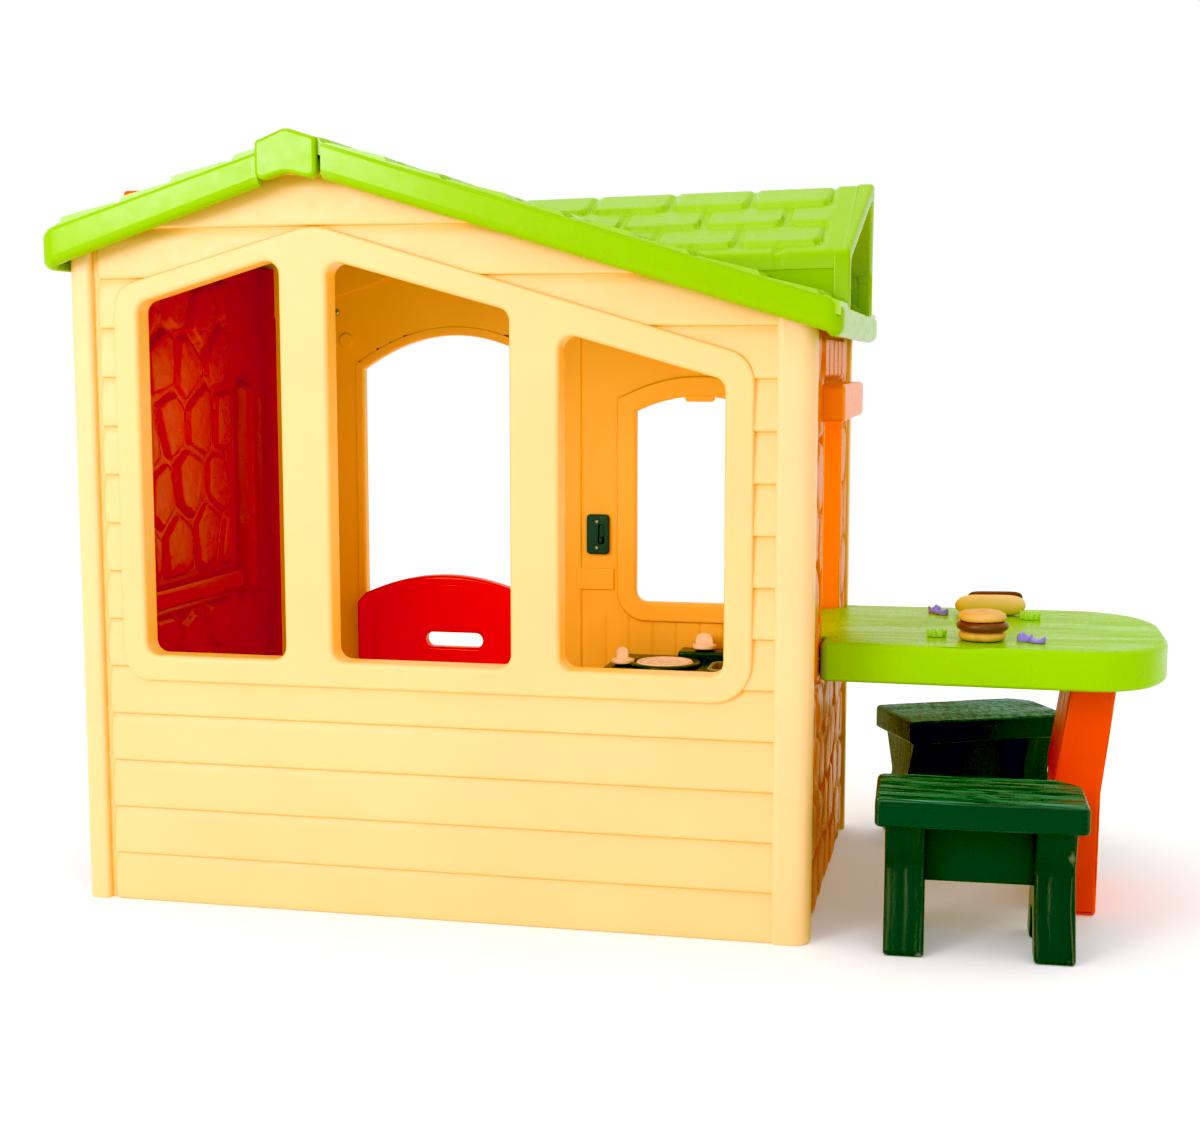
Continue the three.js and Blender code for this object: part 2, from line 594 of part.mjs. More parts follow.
function makeHalfDoor() {
  const { axisX, axisY, halfThick } = DOOR;
  const plate = prism('XZ', doorOutline(), axisY - halfThick, axisY + halfThick);
  const { left, right, bottom, top } = DOOR_HANDLE;
  const handle = prism('XZ', rectangle(left, right, bottom, top, 11), axisY - OVERRUN, axisY + OVERRUN);
  const roundEdge = cut(
    box(axisX - halfThick - 1, axisX, axisY - OVERRUN, axisY + OVERRUN, 0, DOOR.crown),
    prism('XY', circle(axisX, axisY, halfThick, 24), 0, DOOR.crown),
  );
  const notches = DOOR_LUGS.map(([z0, z1]) => box(
    axisX - OVERRUN, axisX + LUG_RADIUS + DOOR_CLEARANCE, axisY - OVERRUN, axisY + OVERRUN,
    z0 - DOOR_CLEARANCE, z1 + DOOR_CLEARANCE,
  ));
  const boreEnds = [DOOR_LUGS[0][0] - PIVOT_REACH - 8, DOOR_LUGS[1][1] + PIVOT_REACH + 8];
  const bore = prism('XY', circle(axisX, axisY, PIVOT_RADIUS + GAP, 12), ...boreEnds);
  return cut(plate, handle, roundEdge, ...notches, bore);
}

function makeDoorPivot([z0, z1]) {
  return prism('XY', circle(DOOR.axisX, DOOR.axisY, PIVOT_RADIUS, 12), z0 - PIVOT_REACH, z1 + PIVOT_REACH);
}

// ---------------------------------------------------------------- play kitchen
function makeKitchen() {
  const { left, right, front, back, top, ledgeTop } = KITCHEN;
  const body = prism('XY', rounded([[left, front, 26], [right, front, 10], [right, back], [left, back]]), 0, top);
  const ledge = box(LEDGE.left, right, LEDGE.front, back, top - 1, ledgeTop);
  const toeSpace = box(
    left - OVERRUN, right + OVERRUN, front - OVERRUN, front + TOE_SPACE.depth, -OVERRUN, TOE_SPACE.height,
  );
  const ovenDoor = prism(
    'XZ', rectangle(OVEN_DOOR.left, OVEN_DOOR.right, OVEN_DOOR.bottom, OVEN_DOOR.top, 12),
    front - OVEN_DOOR.proud, front + 4,
  );
  const handle = box(
    OVEN_HANDLE.left, OVEN_HANDLE.right, front - OVEN_HANDLE.proud, front, OVEN_HANDLE.bottom, OVEN_HANDLE.top,
  );
  const basinHole = rectangle(BASIN.left, BASIN.right, BASIN.front, BASIN.back, 18);
  const basin = prism('XY', basinHole, top - BASIN.depth, top + 1);
  const burnerSeat = disc(BURNER, BURNER.radius, top - SEAT_SINK, top + 1, 32);
  const bores = [KNOB_LEFT, KNOB_RIGHT].map((knob) => (
    disc(knob, KNOB_STEM_RADIUS + GAP, knob.z - KNOB_BORE_DEPTH, knob.z + 1, 16)
  ));
  return cut(join(cut(body, toeSpace), ledge, ovenDoor, handle), basin, burnerSeat, ...bores);
}

function makeSinkBasin() {
  const { left, right, front, back, depth, wall, drainRadius } = BASIN;
  const top = KITCHEN.top;
  const bottom = top - depth;
  const outerOutline = rectangle(left + GAP, right - GAP, front + GAP, back - GAP, 18);
  const outer = prism('XY', outerOutline, bottom + GAP, top + 2);
  const inner = prism(
    'XY', rectangle(left + wall, right - wall, front + wall, back - wall, 15), bottom + wall + 2, top + OVERRUN,
  );
  const middle = { x: (left + right) / 2, y: (front + back) / 2 };
  return cut(outer, inner, disc(middle, drainRadius, bottom - 1, bottom + wall + 4, 16));
}

function makeHobPlate() {
  const base = KITCHEN.top - SEAT_SINK + GAP;
  const r = BURNER.radius - 2;
  const profile = [
    [0, base], [r, base], [r, base + 8], [r - 8, base + 10], [r - 12, base + 7], [0, base + 7],
  ];
  return turned(profile, BURNER.x, BURNER.y, 36);
}

// Turning knob: a dished flange with an upright rounded fin, on a stem that sits in the worktop.
function makeKnob({ x, y, z, radius, fin }) {
  const lift = 1;
  const body = turned([
    [0, z - 20], [KNOB_STEM_RADIUS, z - 20], [KNOB_STEM_RADIUS, z + lift], [radius * 0.55, z + lift],
    [radius, z + 6], [radius - 2, z + 11], [radius * 0.6, z + 14], [0, z + 14],
  ], x, y, 24);
  const blade = prism('XZ', rounded([
    [x - fin, z + 12], [x + fin, z + 12], [x + fin, z + 32, 10], [x - fin, z + 32, 10],
  ]), y - 4, y + 4);
  return join(body, blade);
}

// ---------------------------------------------------------------- phone cradle

function makePhoneCradle() {
  const { left, right, bottom, top, thick } = CRADLE;
  const back = BACK_RECESS_Y - GAP;
  const plate = prism('XZ', rectangle(left, right, bottom, top, 7), back - thick, back);
  const slot = prism(
    'XZ', rectangle(CRADLE_SLOT.left, CRADLE_SLOT.right, CRADLE_SLOT.bottom, CRADLE_SLOT.top, 3),
    back - OVERRUN, back - CRADLE_SLOT.floor,
  );
  const hook = box(
    CRADLE_HOOK.left, CRADLE_HOOK.right, back - CRADLE_HOOK.reach, back - 3, CRADLE_HOOK.bottom, CRADLE_HOOK.top,
  );
  const holes = CRADLE.screwsZ.map((z) => (
    prism('XZ', circle(CRADLE.screwX, z, CRADLE_SCREW_RADIUS + 2 * GAP, 10), back - OVERRUN, back + 5)
  ));
  return cut(join(cut(plate, slot), hook), ...holes);
}

// ---------------------------------------------------------------- screws
// Pan-head screw. The underside of its head is at the point and its shaft runs along the direction.
function alongDirection(geometry, point, direction) {
  const down = new THREE.Vector3(0, -1, 0);
  const turn = new THREE.Quaternion().setFromUnitVectors(down, new THREE.Vector3(...direction));
  geometry.applyQuaternion(turn);
  geometry.translate(...point);
  return solid(geometry);
}

function makeScrew({ at, along, shaft, head, length }) {
  const rise = head * 0.55;
  const profile = [
    [0, -length], [shaft, -length + 2], [shaft, 0],
    [head, 0], [head * 0.9, rise * 0.6], [head * 0.5, rise], [0, rise],
  ].map(([r, z]) => new THREE.Vector2(r, z));
  return alongDirection(new THREE.LatheGeometry(profile, 12), at, along);
}

function screwHole({ at, along, shaft, length }) {
  const deep = length + 3;
  const geometry = new THREE.CylinderGeometry(shaft + GAP, shaft + GAP, deep, 10);
  geometry.translate(0, 1 - deep / 2, 0);
  return alongDirection(geometry, at, along);
}

// ---------------------------------------------------------------- table and stools
function makeTableTop() {
  const mid = HOUSE_MID_Y;
  const { near, far, inner } = TABLE_TONGUE;
  const notchEnd = TABLE_WALL_X + TABLE_NOTCH.length;
  const notch = TABLE_NOTCH.width;
  const halfEnd = TABLE_HALF_WIDTH + TABLE_FLARE;
  const cornerX = TABLE_END_X - 62;
  const endHalf = 105;
  const outline = rounded([
    [inner, near], [notchEnd, near], [notchEnd, near - notch], [TABLE_WALL_X, near - notch],
    [TABLE_WALL_X, mid - TABLE_HALF_WIDTH, 14], [cornerX, mid - halfEnd, 40],
    [TABLE_END_X, mid - endHalf, 60], [TABLE_END_X, mid + endHalf, 60],
    [cornerX, mid + halfEnd, 40], [TABLE_WALL_X, mid + TABLE_HALF_WIDTH, 14],
    [TABLE_WALL_X, far + notch], [notchEnd, far + notch], [notchEnd, far], [inner, far],
  ]);
  return prism('XY', outline, TABLE_TOP_Z - TABLE_THICK, TABLE_TOP_Z);
}

// Side view of the leg: upright foot, then a brace that leans outwards to the tabletop.
function makeTableLeg() {
  const { halfWidth, groovePitch, grooveWidth } = TABLE_LEG;
  const top = TABLE_TOP_Z - TABLE_THICK - GAP;
  const y0 = HOUSE_MID_Y - halfWidth;
  const y1 = HOUSE_MID_Y + halfWidth;
  const side = prism('XZ', [
    [1525, 0], [1594, 0], [1596, 196], [1617, top], [1548, top], [1524, 205],
  ], y0, y1);
  const grooveSide = [[1500, 40], [1530, 40], [1529, 205], [1551, top - 20], [1500, top - 20]];
  const grooves = [];
  for (let y = y0 + groovePitch; y < y1 - OVERRUN; y += groovePitch) {
    grooves.push(prism('XZ', grooveSide, y, y + grooveWidth));
  }
  return cut(side, ...grooves);
}

// Stool in its own frame, centred on its seat. Each leg is a board with a waist and an arched foot.
function stoolSolid() {
  const { halfLength, halfWidth, thick } = STOOL_SEAT;
  const { halfFoot, halfWaist, waistZ, halfTop, inner, outer } = STOOL_LEG;
  const under = STOOL_SEAT_Z - thick;
  const seat = prism('XY', rounded([
    [-halfLength, -halfWidth, 12], [halfLength, -halfWidth, 12],
    [halfLength, halfWidth - 30, 25], [halfLength - 22, halfWidth, 20], [-halfLength, halfWidth, 12],
  ]), under, STOOL_SEAT_Z);
  const side = [
    [-halfFoot, 0], [halfFoot, 0], [halfWaist, waistZ],
    [halfTop, under + 1], [-halfTop, under + 1], [-halfWaist, waistZ],
  ];
  const legs = [[-outer, -inner], [inner, outer]].map(([x0, x1]) => prism('YZ', side, x0, x1));
  const arch = prism('YZ', [[-34, -1], [34, -1], [20, 60], [-20, 60]], -halfLength, halfLength);
  const stretcher = box(-inner - 5, inner + 5, -12, 12, 96, under + 1);
  return join(seat, cut(join(...legs), arch), stretcher);
}

function makeStool(name, { x, y, turn }) {
  const mesh = meshOf(name, stoolSolid(), DARK_GREEN);
  mesh.position.set(x, y, 0);
  mesh.rotation.z = THREE.MathUtils.degToRad(turn);
  return mesh;
}

// ---------------------------------------------------------------- play food
const BURGER = { x: 1410, y: 217, radius: 36 };
const HOT_DOG = { x: 1423, y: 495, halfBun: 58, halfSausage: 51 };
const GARNISH_THICK = 5;
const GARNISHES = [
  ['lettuce_front', { x: 1340, y: 238, radius: 11, lobes: 7, depth: 0.1 }, LETTUCE],
  ['lettuce_back', { x: 1488, y: 458, radius: 11, lobes: 9, depth: 0.14 }, LETTUCE],
  ['onion_front', { x: 1484, y: 212, radius: 16, lobes: 2, depth: 0.12 }, ONION],
  ['onion_back', { x: 1337, y: 496, radius: 15, lobes: 2, depth: 0.12 }, ONION],
];

function bunProfile(z0, z1, radius, domed) {
  const edge = (z1 - z0) * 0.35;
  return domed
    ? [[0, z0], [radius - 3, z0], [radius, z0 + edge], [radius - 5, z1 - 4], [radius * 0.5, z1 - 0.5], [0, z1]]
    : [[0, z0], [radius - 4, z0], [radius, z0 + edge], [radius - 2, z1], [0, z1]];
}

function burgerParts() {
  const { x, y, radius } = BURGER;
  const z0 = TABLE_TOP_Z + GAP;
  const z1 = z0 + 15;
  const z2 = z1 + GAP + 13;
  return [
    ['burger_bottom_bun', turned(bunProfile(z0, z1, radius, false), x, y), BUN],
    ['burger_patty', turned(bunProfile(z1 + GAP, z2, radius + 4, false), x, y), MEAT],
    ['burger_top_bun', turned(bunProfile(z2 + GAP, z2 + 20, radius, true), x, y), BUN],
  ];
}

function hotDogParts() {
  const { x, y, halfBun, halfSausage } = HOT_DOG;
  const bunRadius = 19;
  const sausageRadius = 11;
  const sausageRise = 31;
  const z0 = TABLE_TOP_Z + GAP;
  const tilt = 8;
  const place = (geometry, dz) => {
    geometry.rotateZ(THREE.MathUtils.degToRad(tilt));
    geometry.translate(x, y, z0 + dz);
    return solid(geometry);
  };
  const lying = (radius, length, dz) => {
    const geometry = new THREE.CapsuleGeometry(radius, length, 4, 14);
    geometry.rotateZ(Math.PI / 2);
    return place(geometry, dz);
  };
  const bunShape = lying(bunRadius, 2 * (halfBun - bunRadius), 17)
    .intersect(box(x - 90, x + 90, y - 60, y + 60, z0, z0 + 29));
  const sausageLength = 2 * (halfSausage - sausageRadius);
  const groove = lying(sausageRadius + GAP, sausageLength, sausageRise);
  return [
    ['hot_dog_bun', cut(bunShape, groove), BUN],
    ['hot_dog_sausage', lying(sausageRadius, sausageLength, sausageRise), SAUSAGE],
  ];
}

function garnish({ x, y, radius, lobes, depth }) {
  const steps = 24;
  const outline = Array.from({ length: steps }, (_, i) => {
    const angle = (2 * Math.PI * i) / steps;
    const r = radius * (1 + depth * Math.cos(lobes * angle));
    return [x + 1.25 * r * Math.cos(angle), y + r * Math.sin(angle)];
  });
  return prism('XY', outline, TABLE_TOP_Z + GAP, TABLE_TOP_Z + GAP + GARNISH_THICK);
}

// ---------------------------------------------------------------- assembly
const NORTH = [0, 1, 0];
const SOUTH = [0, -1, 0];
const EAST = [1, 0, 0];
const ROOF_TABS = { roof_left: 189, roof_right: 1086 };   // X of each roof's tabs

function cradleScrews() {
  const front = BACK_RECESS_Y - GAP - CRADLE.thick - GAP;
  return ['lower', 'upper'].map((place, i) => ({
    name: `phone_cradle_screw_${place}`,
    at: [CRADLE.screwX, front, CRADLE.screwsZ[i]],
    along: NORTH,
    shaft: CRADLE_SCREW_RADIUS,
    head: 3.6,
    length: 24,
    through: ['back_wall'],
  }));
}

function roofScrews() {
  return Object.entries(ROOF_TABS).flatMap(([roof, x]) => {
    const screwZ = (drop) => roofTop(x) - ROOF_SLAB - drop + TAB.screwAboveTip;
    const common = { shaft: 3, head: 7, length: 36 };
    return [
      {
        name: `${roof}_screw_front`,
        at: [x, WALL, screwZ(TAB.frontDrop)],
        along: SOUTH,
        through: ['front_wall', roof],
        ...common,
      },
      {
        name: `${roof}_screw_back`,
        at: [x, WALL_INNER_BACK - GAP, screwZ(TAB.backDrop)],
        along: NORTH,
        through: ['back_wall', roof],
        ...common,
      },
    ];
  });
}

function tableScrews() {
  const z = TABLE_TOP_Z - TABLE_THICK / 2;
  const shoulders = { near: SERVING_WINDOW.near - 28, far: SERVING_WINDOW.far + 28 };
  return Object.entries(shoulders).map(([side, y]) => ({
    name: `table_screw_${side}`,
    at: [HOUSE_WIDTH - WALL - GAP, y, z],
    along: EAST,
    shaft: 3,
    head: 7,
    length: 78,
    through: ['right_wall', 'table_top'],
  }));
}

const bodies = {
  front_wall: [makeFrontWall(), YELLOW],
  back_wall: [makeBackWall(), YELLOW],
  left_wall: [makeLeftWall(), DEEP_RED],
  right_wall: [makeRightWall(), TERRACOTTA],
  roof_left: [makeRoofLeft(), LIME],
  roof_right: [makeRoofRight(), LIME],
  chimney_cap: [makeChimneyCap(), ORANGE],
  half_door: [makeHalfDoor(), DOOR_RED],
  kitchen_unit: [makeKitchen(), DARK_GREEN],
  sink_basin: [makeSinkBasin(), GREY],
  hob_plate: [makeHobPlate(), BEIGE],
  knob_left: [makeKnob(KNOB_LEFT), BEIGE],
  knob_right: [makeKnob(KNOB_RIGHT), BEIGE],
  phone_cradle: [makePhoneCradle(), TEAL],
  table_top: [makeTableTop(), LIME],
  table_leg: [makeTableLeg(), ORANGE],
  door_pivot_lower: [makeDoorPivot(DOOR_LUGS[0]), STEEL],
  door_pivot_upper: [makeDoorPivot(DOOR_LUGS[1]), STEEL],
};

for (const [roof, x] of Object.entries(ROOF_TABS)) {
  const front = (clearance) => tabBox(x, WALL_MID_FRONT, TAB.frontDrop, clearance);
  const back = (clearance) => tabBox(x, WALL_MID_BACK, TAB.backDrop, clearance);
  bodies[roof][0] = join(bodies[roof][0], front(0), back(0));
  bodies.front_wall[0] = bodies.front_wall[0].subtract(front(1));
  bodies.back_wall[0] = bodies.back_wall[0].subtract(back(1));
}

for (const screw of [...cradleScrews(), ...roofScrews(), ...tableScrews()]) {
  for (const name of screw.through) bodies[name][0] = bodies[name][0].subtract(screwHole(screw));
  bodies[screw.name] = [makeScrew(screw), STEEL];
}

for (const [name, body, material] of [...burgerParts(), ...hotDogParts()]) bodies[name] = [body, material];
for (const [name, shape, material] of GARNISHES) bodies[name] = [garnish(shape), material];

const group = new THREE.Group();
group.name = 'playhouse';
const house = new THREE.Group();
for (const [name, [body, material]] of Object.entries(bodies)) house.add(meshOf(name, body, material));
house.add(makeStool('stool_front', FRONT_STOOL));
house.add(makeStool('stool_back', BACK_STOOL));

const bounds = new THREE.Box3().setFromObject(house, true);
const centre = bounds.getCenter(new THREE.Vector3());
house.position.set(-centre.x, -centre.y, -bounds.min.z);
group.add(house);
group.updateMatrixWorld(true);

export default group;
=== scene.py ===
import math

import bmesh
import bpy
import numpy as np
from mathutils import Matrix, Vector
from mathutils.geometry import tessellate_polygon


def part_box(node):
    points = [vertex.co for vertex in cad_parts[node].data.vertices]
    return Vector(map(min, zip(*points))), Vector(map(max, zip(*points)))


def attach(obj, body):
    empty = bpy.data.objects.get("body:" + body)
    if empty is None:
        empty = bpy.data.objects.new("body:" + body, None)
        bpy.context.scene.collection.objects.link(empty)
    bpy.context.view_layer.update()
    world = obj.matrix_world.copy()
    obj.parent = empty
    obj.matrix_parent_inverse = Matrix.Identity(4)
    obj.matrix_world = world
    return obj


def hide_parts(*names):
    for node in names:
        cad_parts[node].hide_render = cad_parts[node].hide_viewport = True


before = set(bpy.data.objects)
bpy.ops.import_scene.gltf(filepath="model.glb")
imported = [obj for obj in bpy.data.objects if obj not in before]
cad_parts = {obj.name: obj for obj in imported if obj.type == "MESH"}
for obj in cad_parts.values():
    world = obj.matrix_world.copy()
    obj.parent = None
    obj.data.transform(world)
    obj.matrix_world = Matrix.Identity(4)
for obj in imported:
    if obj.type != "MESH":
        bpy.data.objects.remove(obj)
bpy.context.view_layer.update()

# ---------------------------------------------------------------- dimensions
# Metres in the house frame: X = 0 is the outer face of the left wall, Y = 0 that of the front wall.
HOUSE = np.array([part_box("front_wall")[0].x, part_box("front_wall")[0].y, 0.0])
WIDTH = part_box("front_wall")[1].x - HOUSE[0]
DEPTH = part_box("back_wall")[1].y - HOUSE[1]
MID_Y = DEPTH / 2
WALL = 0.0447                  # thickness of the front and back walls
POST = 0.057
LEFT_POST = 0.0415             # the front left post is narrower
BOARD = 0.0762                 # height of one lapped board
BOARD_LIP = 0.003              # its lower edge lies this far behind the posts
BOARD_TAPER = 0.006            # and its upper edge this much further
RIGHT_SINK = 0.010             # the stone wall's face lies this far inside the corner posts

SLOPE = 0.31                   # of both roof slopes
RIDGE_X = 0.388
RIDGE_Z = 1.201
LEFT_DROP = 0.012              # the left slope lies this much lower
OVERHANG = 0.040               # beyond the front and back walls
SLAB = 0.020
ROOF_SKIN = 0.010              # walls end this far below the roof's top, inside its slab
FASCIA_THICK = 0.020
EAVE_LEFT = -0.012
FASCIA_LEFT = -0.024           # outer face of the left fascia
EAVE_RIGHT = 1.210
CAP_LEFT = 0.337               # sides of the ridge cap
CAP_RIGHT = 0.434

DORMER_SLOPE = 0.465
DORMER_HALF = 0.262            # to its upright side walls
DORMER_START = 0.592
DORMER_THICK = 0.021           # measured upright

SILL = 0.402
FRONT_WINDOWS = [                                      # left, right, top at the left, top at the right
    (0.119, 0.352, 0.953, 1.021),
    (0.430, 0.714, 1.017, 0.938),
    (0.791, 1.038, 0.907, 0.836),
]
DOORWAY = (0.243, 0.609, 0.040, 0.849, 0.064)          # left, right, bottom, spring, rise
DOOR_LUGS = ((0.118, 0.166), (0.235, 0.283))          # bottom and top of each lug
BACK_WINDOW = (0.775, 1.010, 0.416, 0.772, 0.028)
SERVING = (0.194, 0.526, 0.373, 0.770)                 # near, far, sill, top
TABLE_TOP = 0.436
TABLE_THICK = 0.061
SEAT_TOP = 0.235
KITCHEN_TOP = 0.318
LEDGE_TOP = 0.334
HOB = (0.851, 0.562)                                   # centre of the burner
BASIN = (0.938, 1.098, 0.508, 0.598)                   # left, right, near, far
FIRST_GROOVE = 0.717                                   # upright grooves behind the kitchen
GROOVE_PITCH = 0.0447
ON_TABLE = TABLE_TOP + 0.0003                          # where the play food rests


# ---------------------------------------------------------------- numbers
def smooth(low, high, value):
    t = np.clip((value - low) / (high - low), 0, 1)
    return t * t * (3 - 2 * t)


def quarter(distance, radius):
    """Height lost near an edge that is rounded to radius, at a distance inside it."""
    t = 1 - np.clip(distance / radius, 0, 1)
    return radius * (1 - np.sqrt(1 - t * t))


def lines(low, high, step, *extra):
    """Grid lines from low to high, about step apart, with extra lines added."""
    count = max(1, round((high - low) / step))
    values = np.concatenate([np.linspace(low, high, count + 1), *[np.atleast_1d(e) for e in extra]])
    values = np.unique(np.round(values[(values >= low) & (values <= high)], 5))
    keep = np.concatenate([[True], np.diff(values) > 0.0003])
    return values[keep]


def noise2(u, v, scale, seed):
    """Smooth noise from -1 to 1 on two arrays of the same shape."""
    table = np.random.default_rng(seed).uniform(-1, 1, (64, 64))
    u, v = u / scale + 100, v / scale + 100
    iu, iv = np.floor(u).astype(int), np.floor(v).astype(int)
    fu, fv = u - iu, v - iv
    fu, fv = fu * fu * (3 - 2 * fu), fv * fv * (3 - 2 * fv)

    def corner(a, b):
        return table[(iu + a) % 64, (iv + b) % 64]

    near = corner(0, 0) * (1 - fu) + corner(1, 0) * fu
    far = corner(0, 1) * (1 - fu) + corner(1, 1) * fu
    return near * (1 - fv) + far * fv


def roof_top(x):
    left = RIDGE_Z - LEFT_DROP - SLOPE * (RIDGE_X - x)
    right = RIDGE_Z - SLOPE * (x - RIDGE_X)
    return np.where(x < RIDGE_X, left, right)


def inside(u, v, polygon):
    """Which of the points u, v lie in the polygon."""
    result = np.zeros(np.shape(u), bool)
    for (x0, y0), (x1, y1) in zip(polygon, np.roll(polygon, -1, 0)):
        crosses = (y0 > v) != (y1 > v)
        with np.errstate(divide="ignore", invalid="ignore"):
            at = x0 + (v - y0) * (x1 - x0) / (y1 - y0)
        result ^= crosses & (u < at)
    return result


# ---------------------------------------------------------------- outlines
def rounded(corners, steps=6):
    """Polygon whose corners [u, v, radius] are rounded by arcs."""
    points = []
    count = len(corners)
    for i, (u, v, radius) in enumerate(corners):
        here = np.array([u, v])
        if not radius:
            points.append(here)
            continue
        before = np.array(corners[i - 1][:2]) - here
        after = np.array(corners[(i + 1) % count][:2]) - here
        before, after = before / np.linalg.norm(before), after / np.linalg.norm(after)
        half = math.acos(np.clip(before @ after, -1, 1)) / 2
        centre = here + (before + after) / np.linalg.norm(before + after) * radius / math.sin(half)
        start = here + before * radius / math.tan(half) - centre
        sweep = math.pi - 2 * half
        turn = np.sign(before[0] * after[1] - before[1] * after[0]) * -1
        for k in range(steps + 1):
            a = turn * sweep * k / steps
            spin = np.array([[math.cos(a), -math.sin(a)], [math.sin(a), math.cos(a)]])
            points.append(centre + spin @ start)
    return np.array(points)


def rectangle(u0, u1, v0, v1, radius=0.0, steps=6):
    return rounded([[u0, v0, radius], [u1, v0, radius], [u1, v1, radius], [u0, v1, radius]], steps)


def arched(left, right, bottom, spring, rise, corner=0.0, steps=24):
    """Opening with upright jambs and a low arched head."""
    jambs = rounded([[left, bottom, corner], [right, bottom, corner], [right, spring, 0], [left, spring, 0]])
    points = list(jambs[:-1])
    middle, half = (left + right) / 2, (right - left) / 2
    for k in range(1, steps):
        t = 1 - 2 * k / steps
        points.append(np.array([middle + half * t, spring + rise * (1 - t * t)]))
    points.append(np.array([left, spring]))
    return np.array(points)


def circle(u, v, radius, steps=40):
    angles = np.linspace(0, 2 * math.pi, steps, endpoint=False)
    return np.stack([u + radius * np.cos(angles), v + radius * np.sin(angles)], 1)


def area(loop):
    u, v = loop[:, 0], loop[:, 1]
    return 0.5 * np.sum(u * np.roll(v, -1) - np.roll(u, -1) * v)


def offset_loop(loop, distance):
    """Closed loop moved to its left by distance, with mitred corners. Its arcs must be wider than that."""
    forward = np.roll(loop, -1, 0) - loop
    forward = forward / np.linalg.norm(forward, axis=1)[:, None]
    normal = np.stack([-forward[:, 1], forward[:, 0]], 1)
    before = np.roll(normal, 1, 0)
    mitre = (normal + before) / (1 + (normal * before).sum(1))[:, None]
    return loop + distance * mitre


def link(tree, a, output, b, socket):
    tree.links.new(a.outputs[output], b.inputs[socket])


def node(tree, kind, **values):
    made = tree.nodes.new(kind)
    for key, value in values.items():
        if key in made.inputs:
            made.inputs[key].default_value = value
        else:
            setattr(made, key, value)
    return made


def plastic(slot, color, roughness=0.38, coat=0.0, mottle=0.07, peel=0.12, grain=None, metallic=0.0,
            shine=0.3, top_sheen=None):
    """Moulded plastic: faint mottling, scuffed gloss, a fine peel texture and paler worn edges.
    grain is the stretch (x, y, z) of a moulded wood grain, if there is one, and the last argument is the colour
    of a painted sheen on its grain ridges on faces that look up."""
    material = bpy.data.materials.new(f"look_{slot}")
    material.use_nodes = True
    tree = material.node_tree
    shader = tree.nodes["Principled BSDF"]
    shader.inputs["Specular IOR Level"].default_value = shine
    shader.inputs["Metallic"].default_value = metallic
    shader.inputs["Coat Weight"].default_value = coat
    shader.inputs["Coat Roughness"].default_value = 0.12
    place = node(tree, "ShaderNodeTexCoord")

    cloud = node(tree, "ShaderNodeTexNoise", Scale=5.0, Detail=4.0, Roughness=0.6)
    link(tree, place, "Object", cloud, "Vector")
    tint = node(tree, "ShaderNodeMix", data_type="RGBA")
    tint.inputs["A"].default_value = (*[c * (1 - mottle) for c in color], 1)
    tint.inputs["B"].default_value = (*[min(1, c * (1 + mottle) + 0.004) for c in color], 1)
    link(tree, cloud, "Fac", tint, "Factor")

    shape = node(tree, "ShaderNodeNewGeometry")
    edge = node(tree, "ShaderNodeMapRange", **{"From Min": 0.53, "From Max": 0.64, "To Max": 0.35})
    link(tree, shape, "Pointiness", edge, "Value")
    worn = node(tree, "ShaderNodeMix", data_type="RGBA")
    worn.inputs["B"].default_value = (*[c + (1 - c) * 0.35 for c in color], 1)
    link(tree, tint, "Result", worn, "A")
    link(tree, edge, "Result", worn, "Factor")
    link(tree, worn, "Result", shader, "Base Color")

    scuff = node(tree, "ShaderNodeTexNoise", Scale=38.0, Detail=5.0, Roughness=0.7)
    link(tree, place, "Object", scuff, "Vector")
    gloss = node(tree, "ShaderNodeMapRange", **{
        "From Min": 0.3, "From Max": 0.7, "To Min": roughness - 0.06, "To Max": roughness + 0.10})
    link(tree, scuff, "Fac", gloss, "Value")
    link(tree, gloss, "Result", shader, "Roughness")

    skin = node(tree, "ShaderNodeTexNoise", Scale=900.0, Detail=2.0)
    link(tree, place, "Object", skin, "Vector")
    bump = node(tree, "ShaderNodeBump", Strength=peel, Distance=0.0004)
    link(tree, skin, "Fac", bump, "Height")
    if grain:
        stretch = node(tree, "ShaderNodeMapping")
        stretch.inputs["Scale"].default_value = grain
        link(tree, place, "Object", stretch, "Vector")
        fibre = node(tree, "ShaderNodeTexNoise", Scale=1.0, Detail=4.0, Roughness=0.65, Distortion=0.4)
        link(tree, stretch, "Vector", fibre, "Vector")
        ridges = node(tree, "ShaderNodeBump", Strength=0.55, Distance=0.0012)
        link(tree, fibre, "Fac", ridges, "Height")
        link(tree, bump, "Normal", ridges, "Normal")
        bump = ridges
    # Painted sheen: grain ridges on faces that look up are mixed towards a paler colour, standing in for the
    # light they reflect.
    if top_sheen:
        facing = node(tree, "ShaderNodeSeparateXYZ")
        link(tree, shape, "Normal", facing, "Vector")
        upward = node(tree, "ShaderNodeMapRange", **{"From Min": 0.55, "From Max": 0.95, "To Max": 0.9})
        link(tree, facing, "Z", upward, "Value")
        streak = node(tree, "ShaderNodeMapRange", **{"From Min": 0.44, "From Max": 0.60})
        link(tree, fibre, "Fac", streak, "Value")
        both = node(tree, "ShaderNodeMath", operation="MULTIPLY")
        tree.links.new(upward.outputs["Result"], both.inputs[0])
        tree.links.new(streak.outputs["Result"], both.inputs[1])
        pale = node(tree, "ShaderNodeMix", data_type="RGBA")
        pale.inputs["B"].default_value = (*top_sheen, 1)
        link(tree, worn, "Result", pale, "A")
        link(tree, both, "Value", pale, "Factor")
        link(tree, pale, "Result", shader, "Base Color")
    link(tree, bump, "Normal", shader, "Normal")
    return material


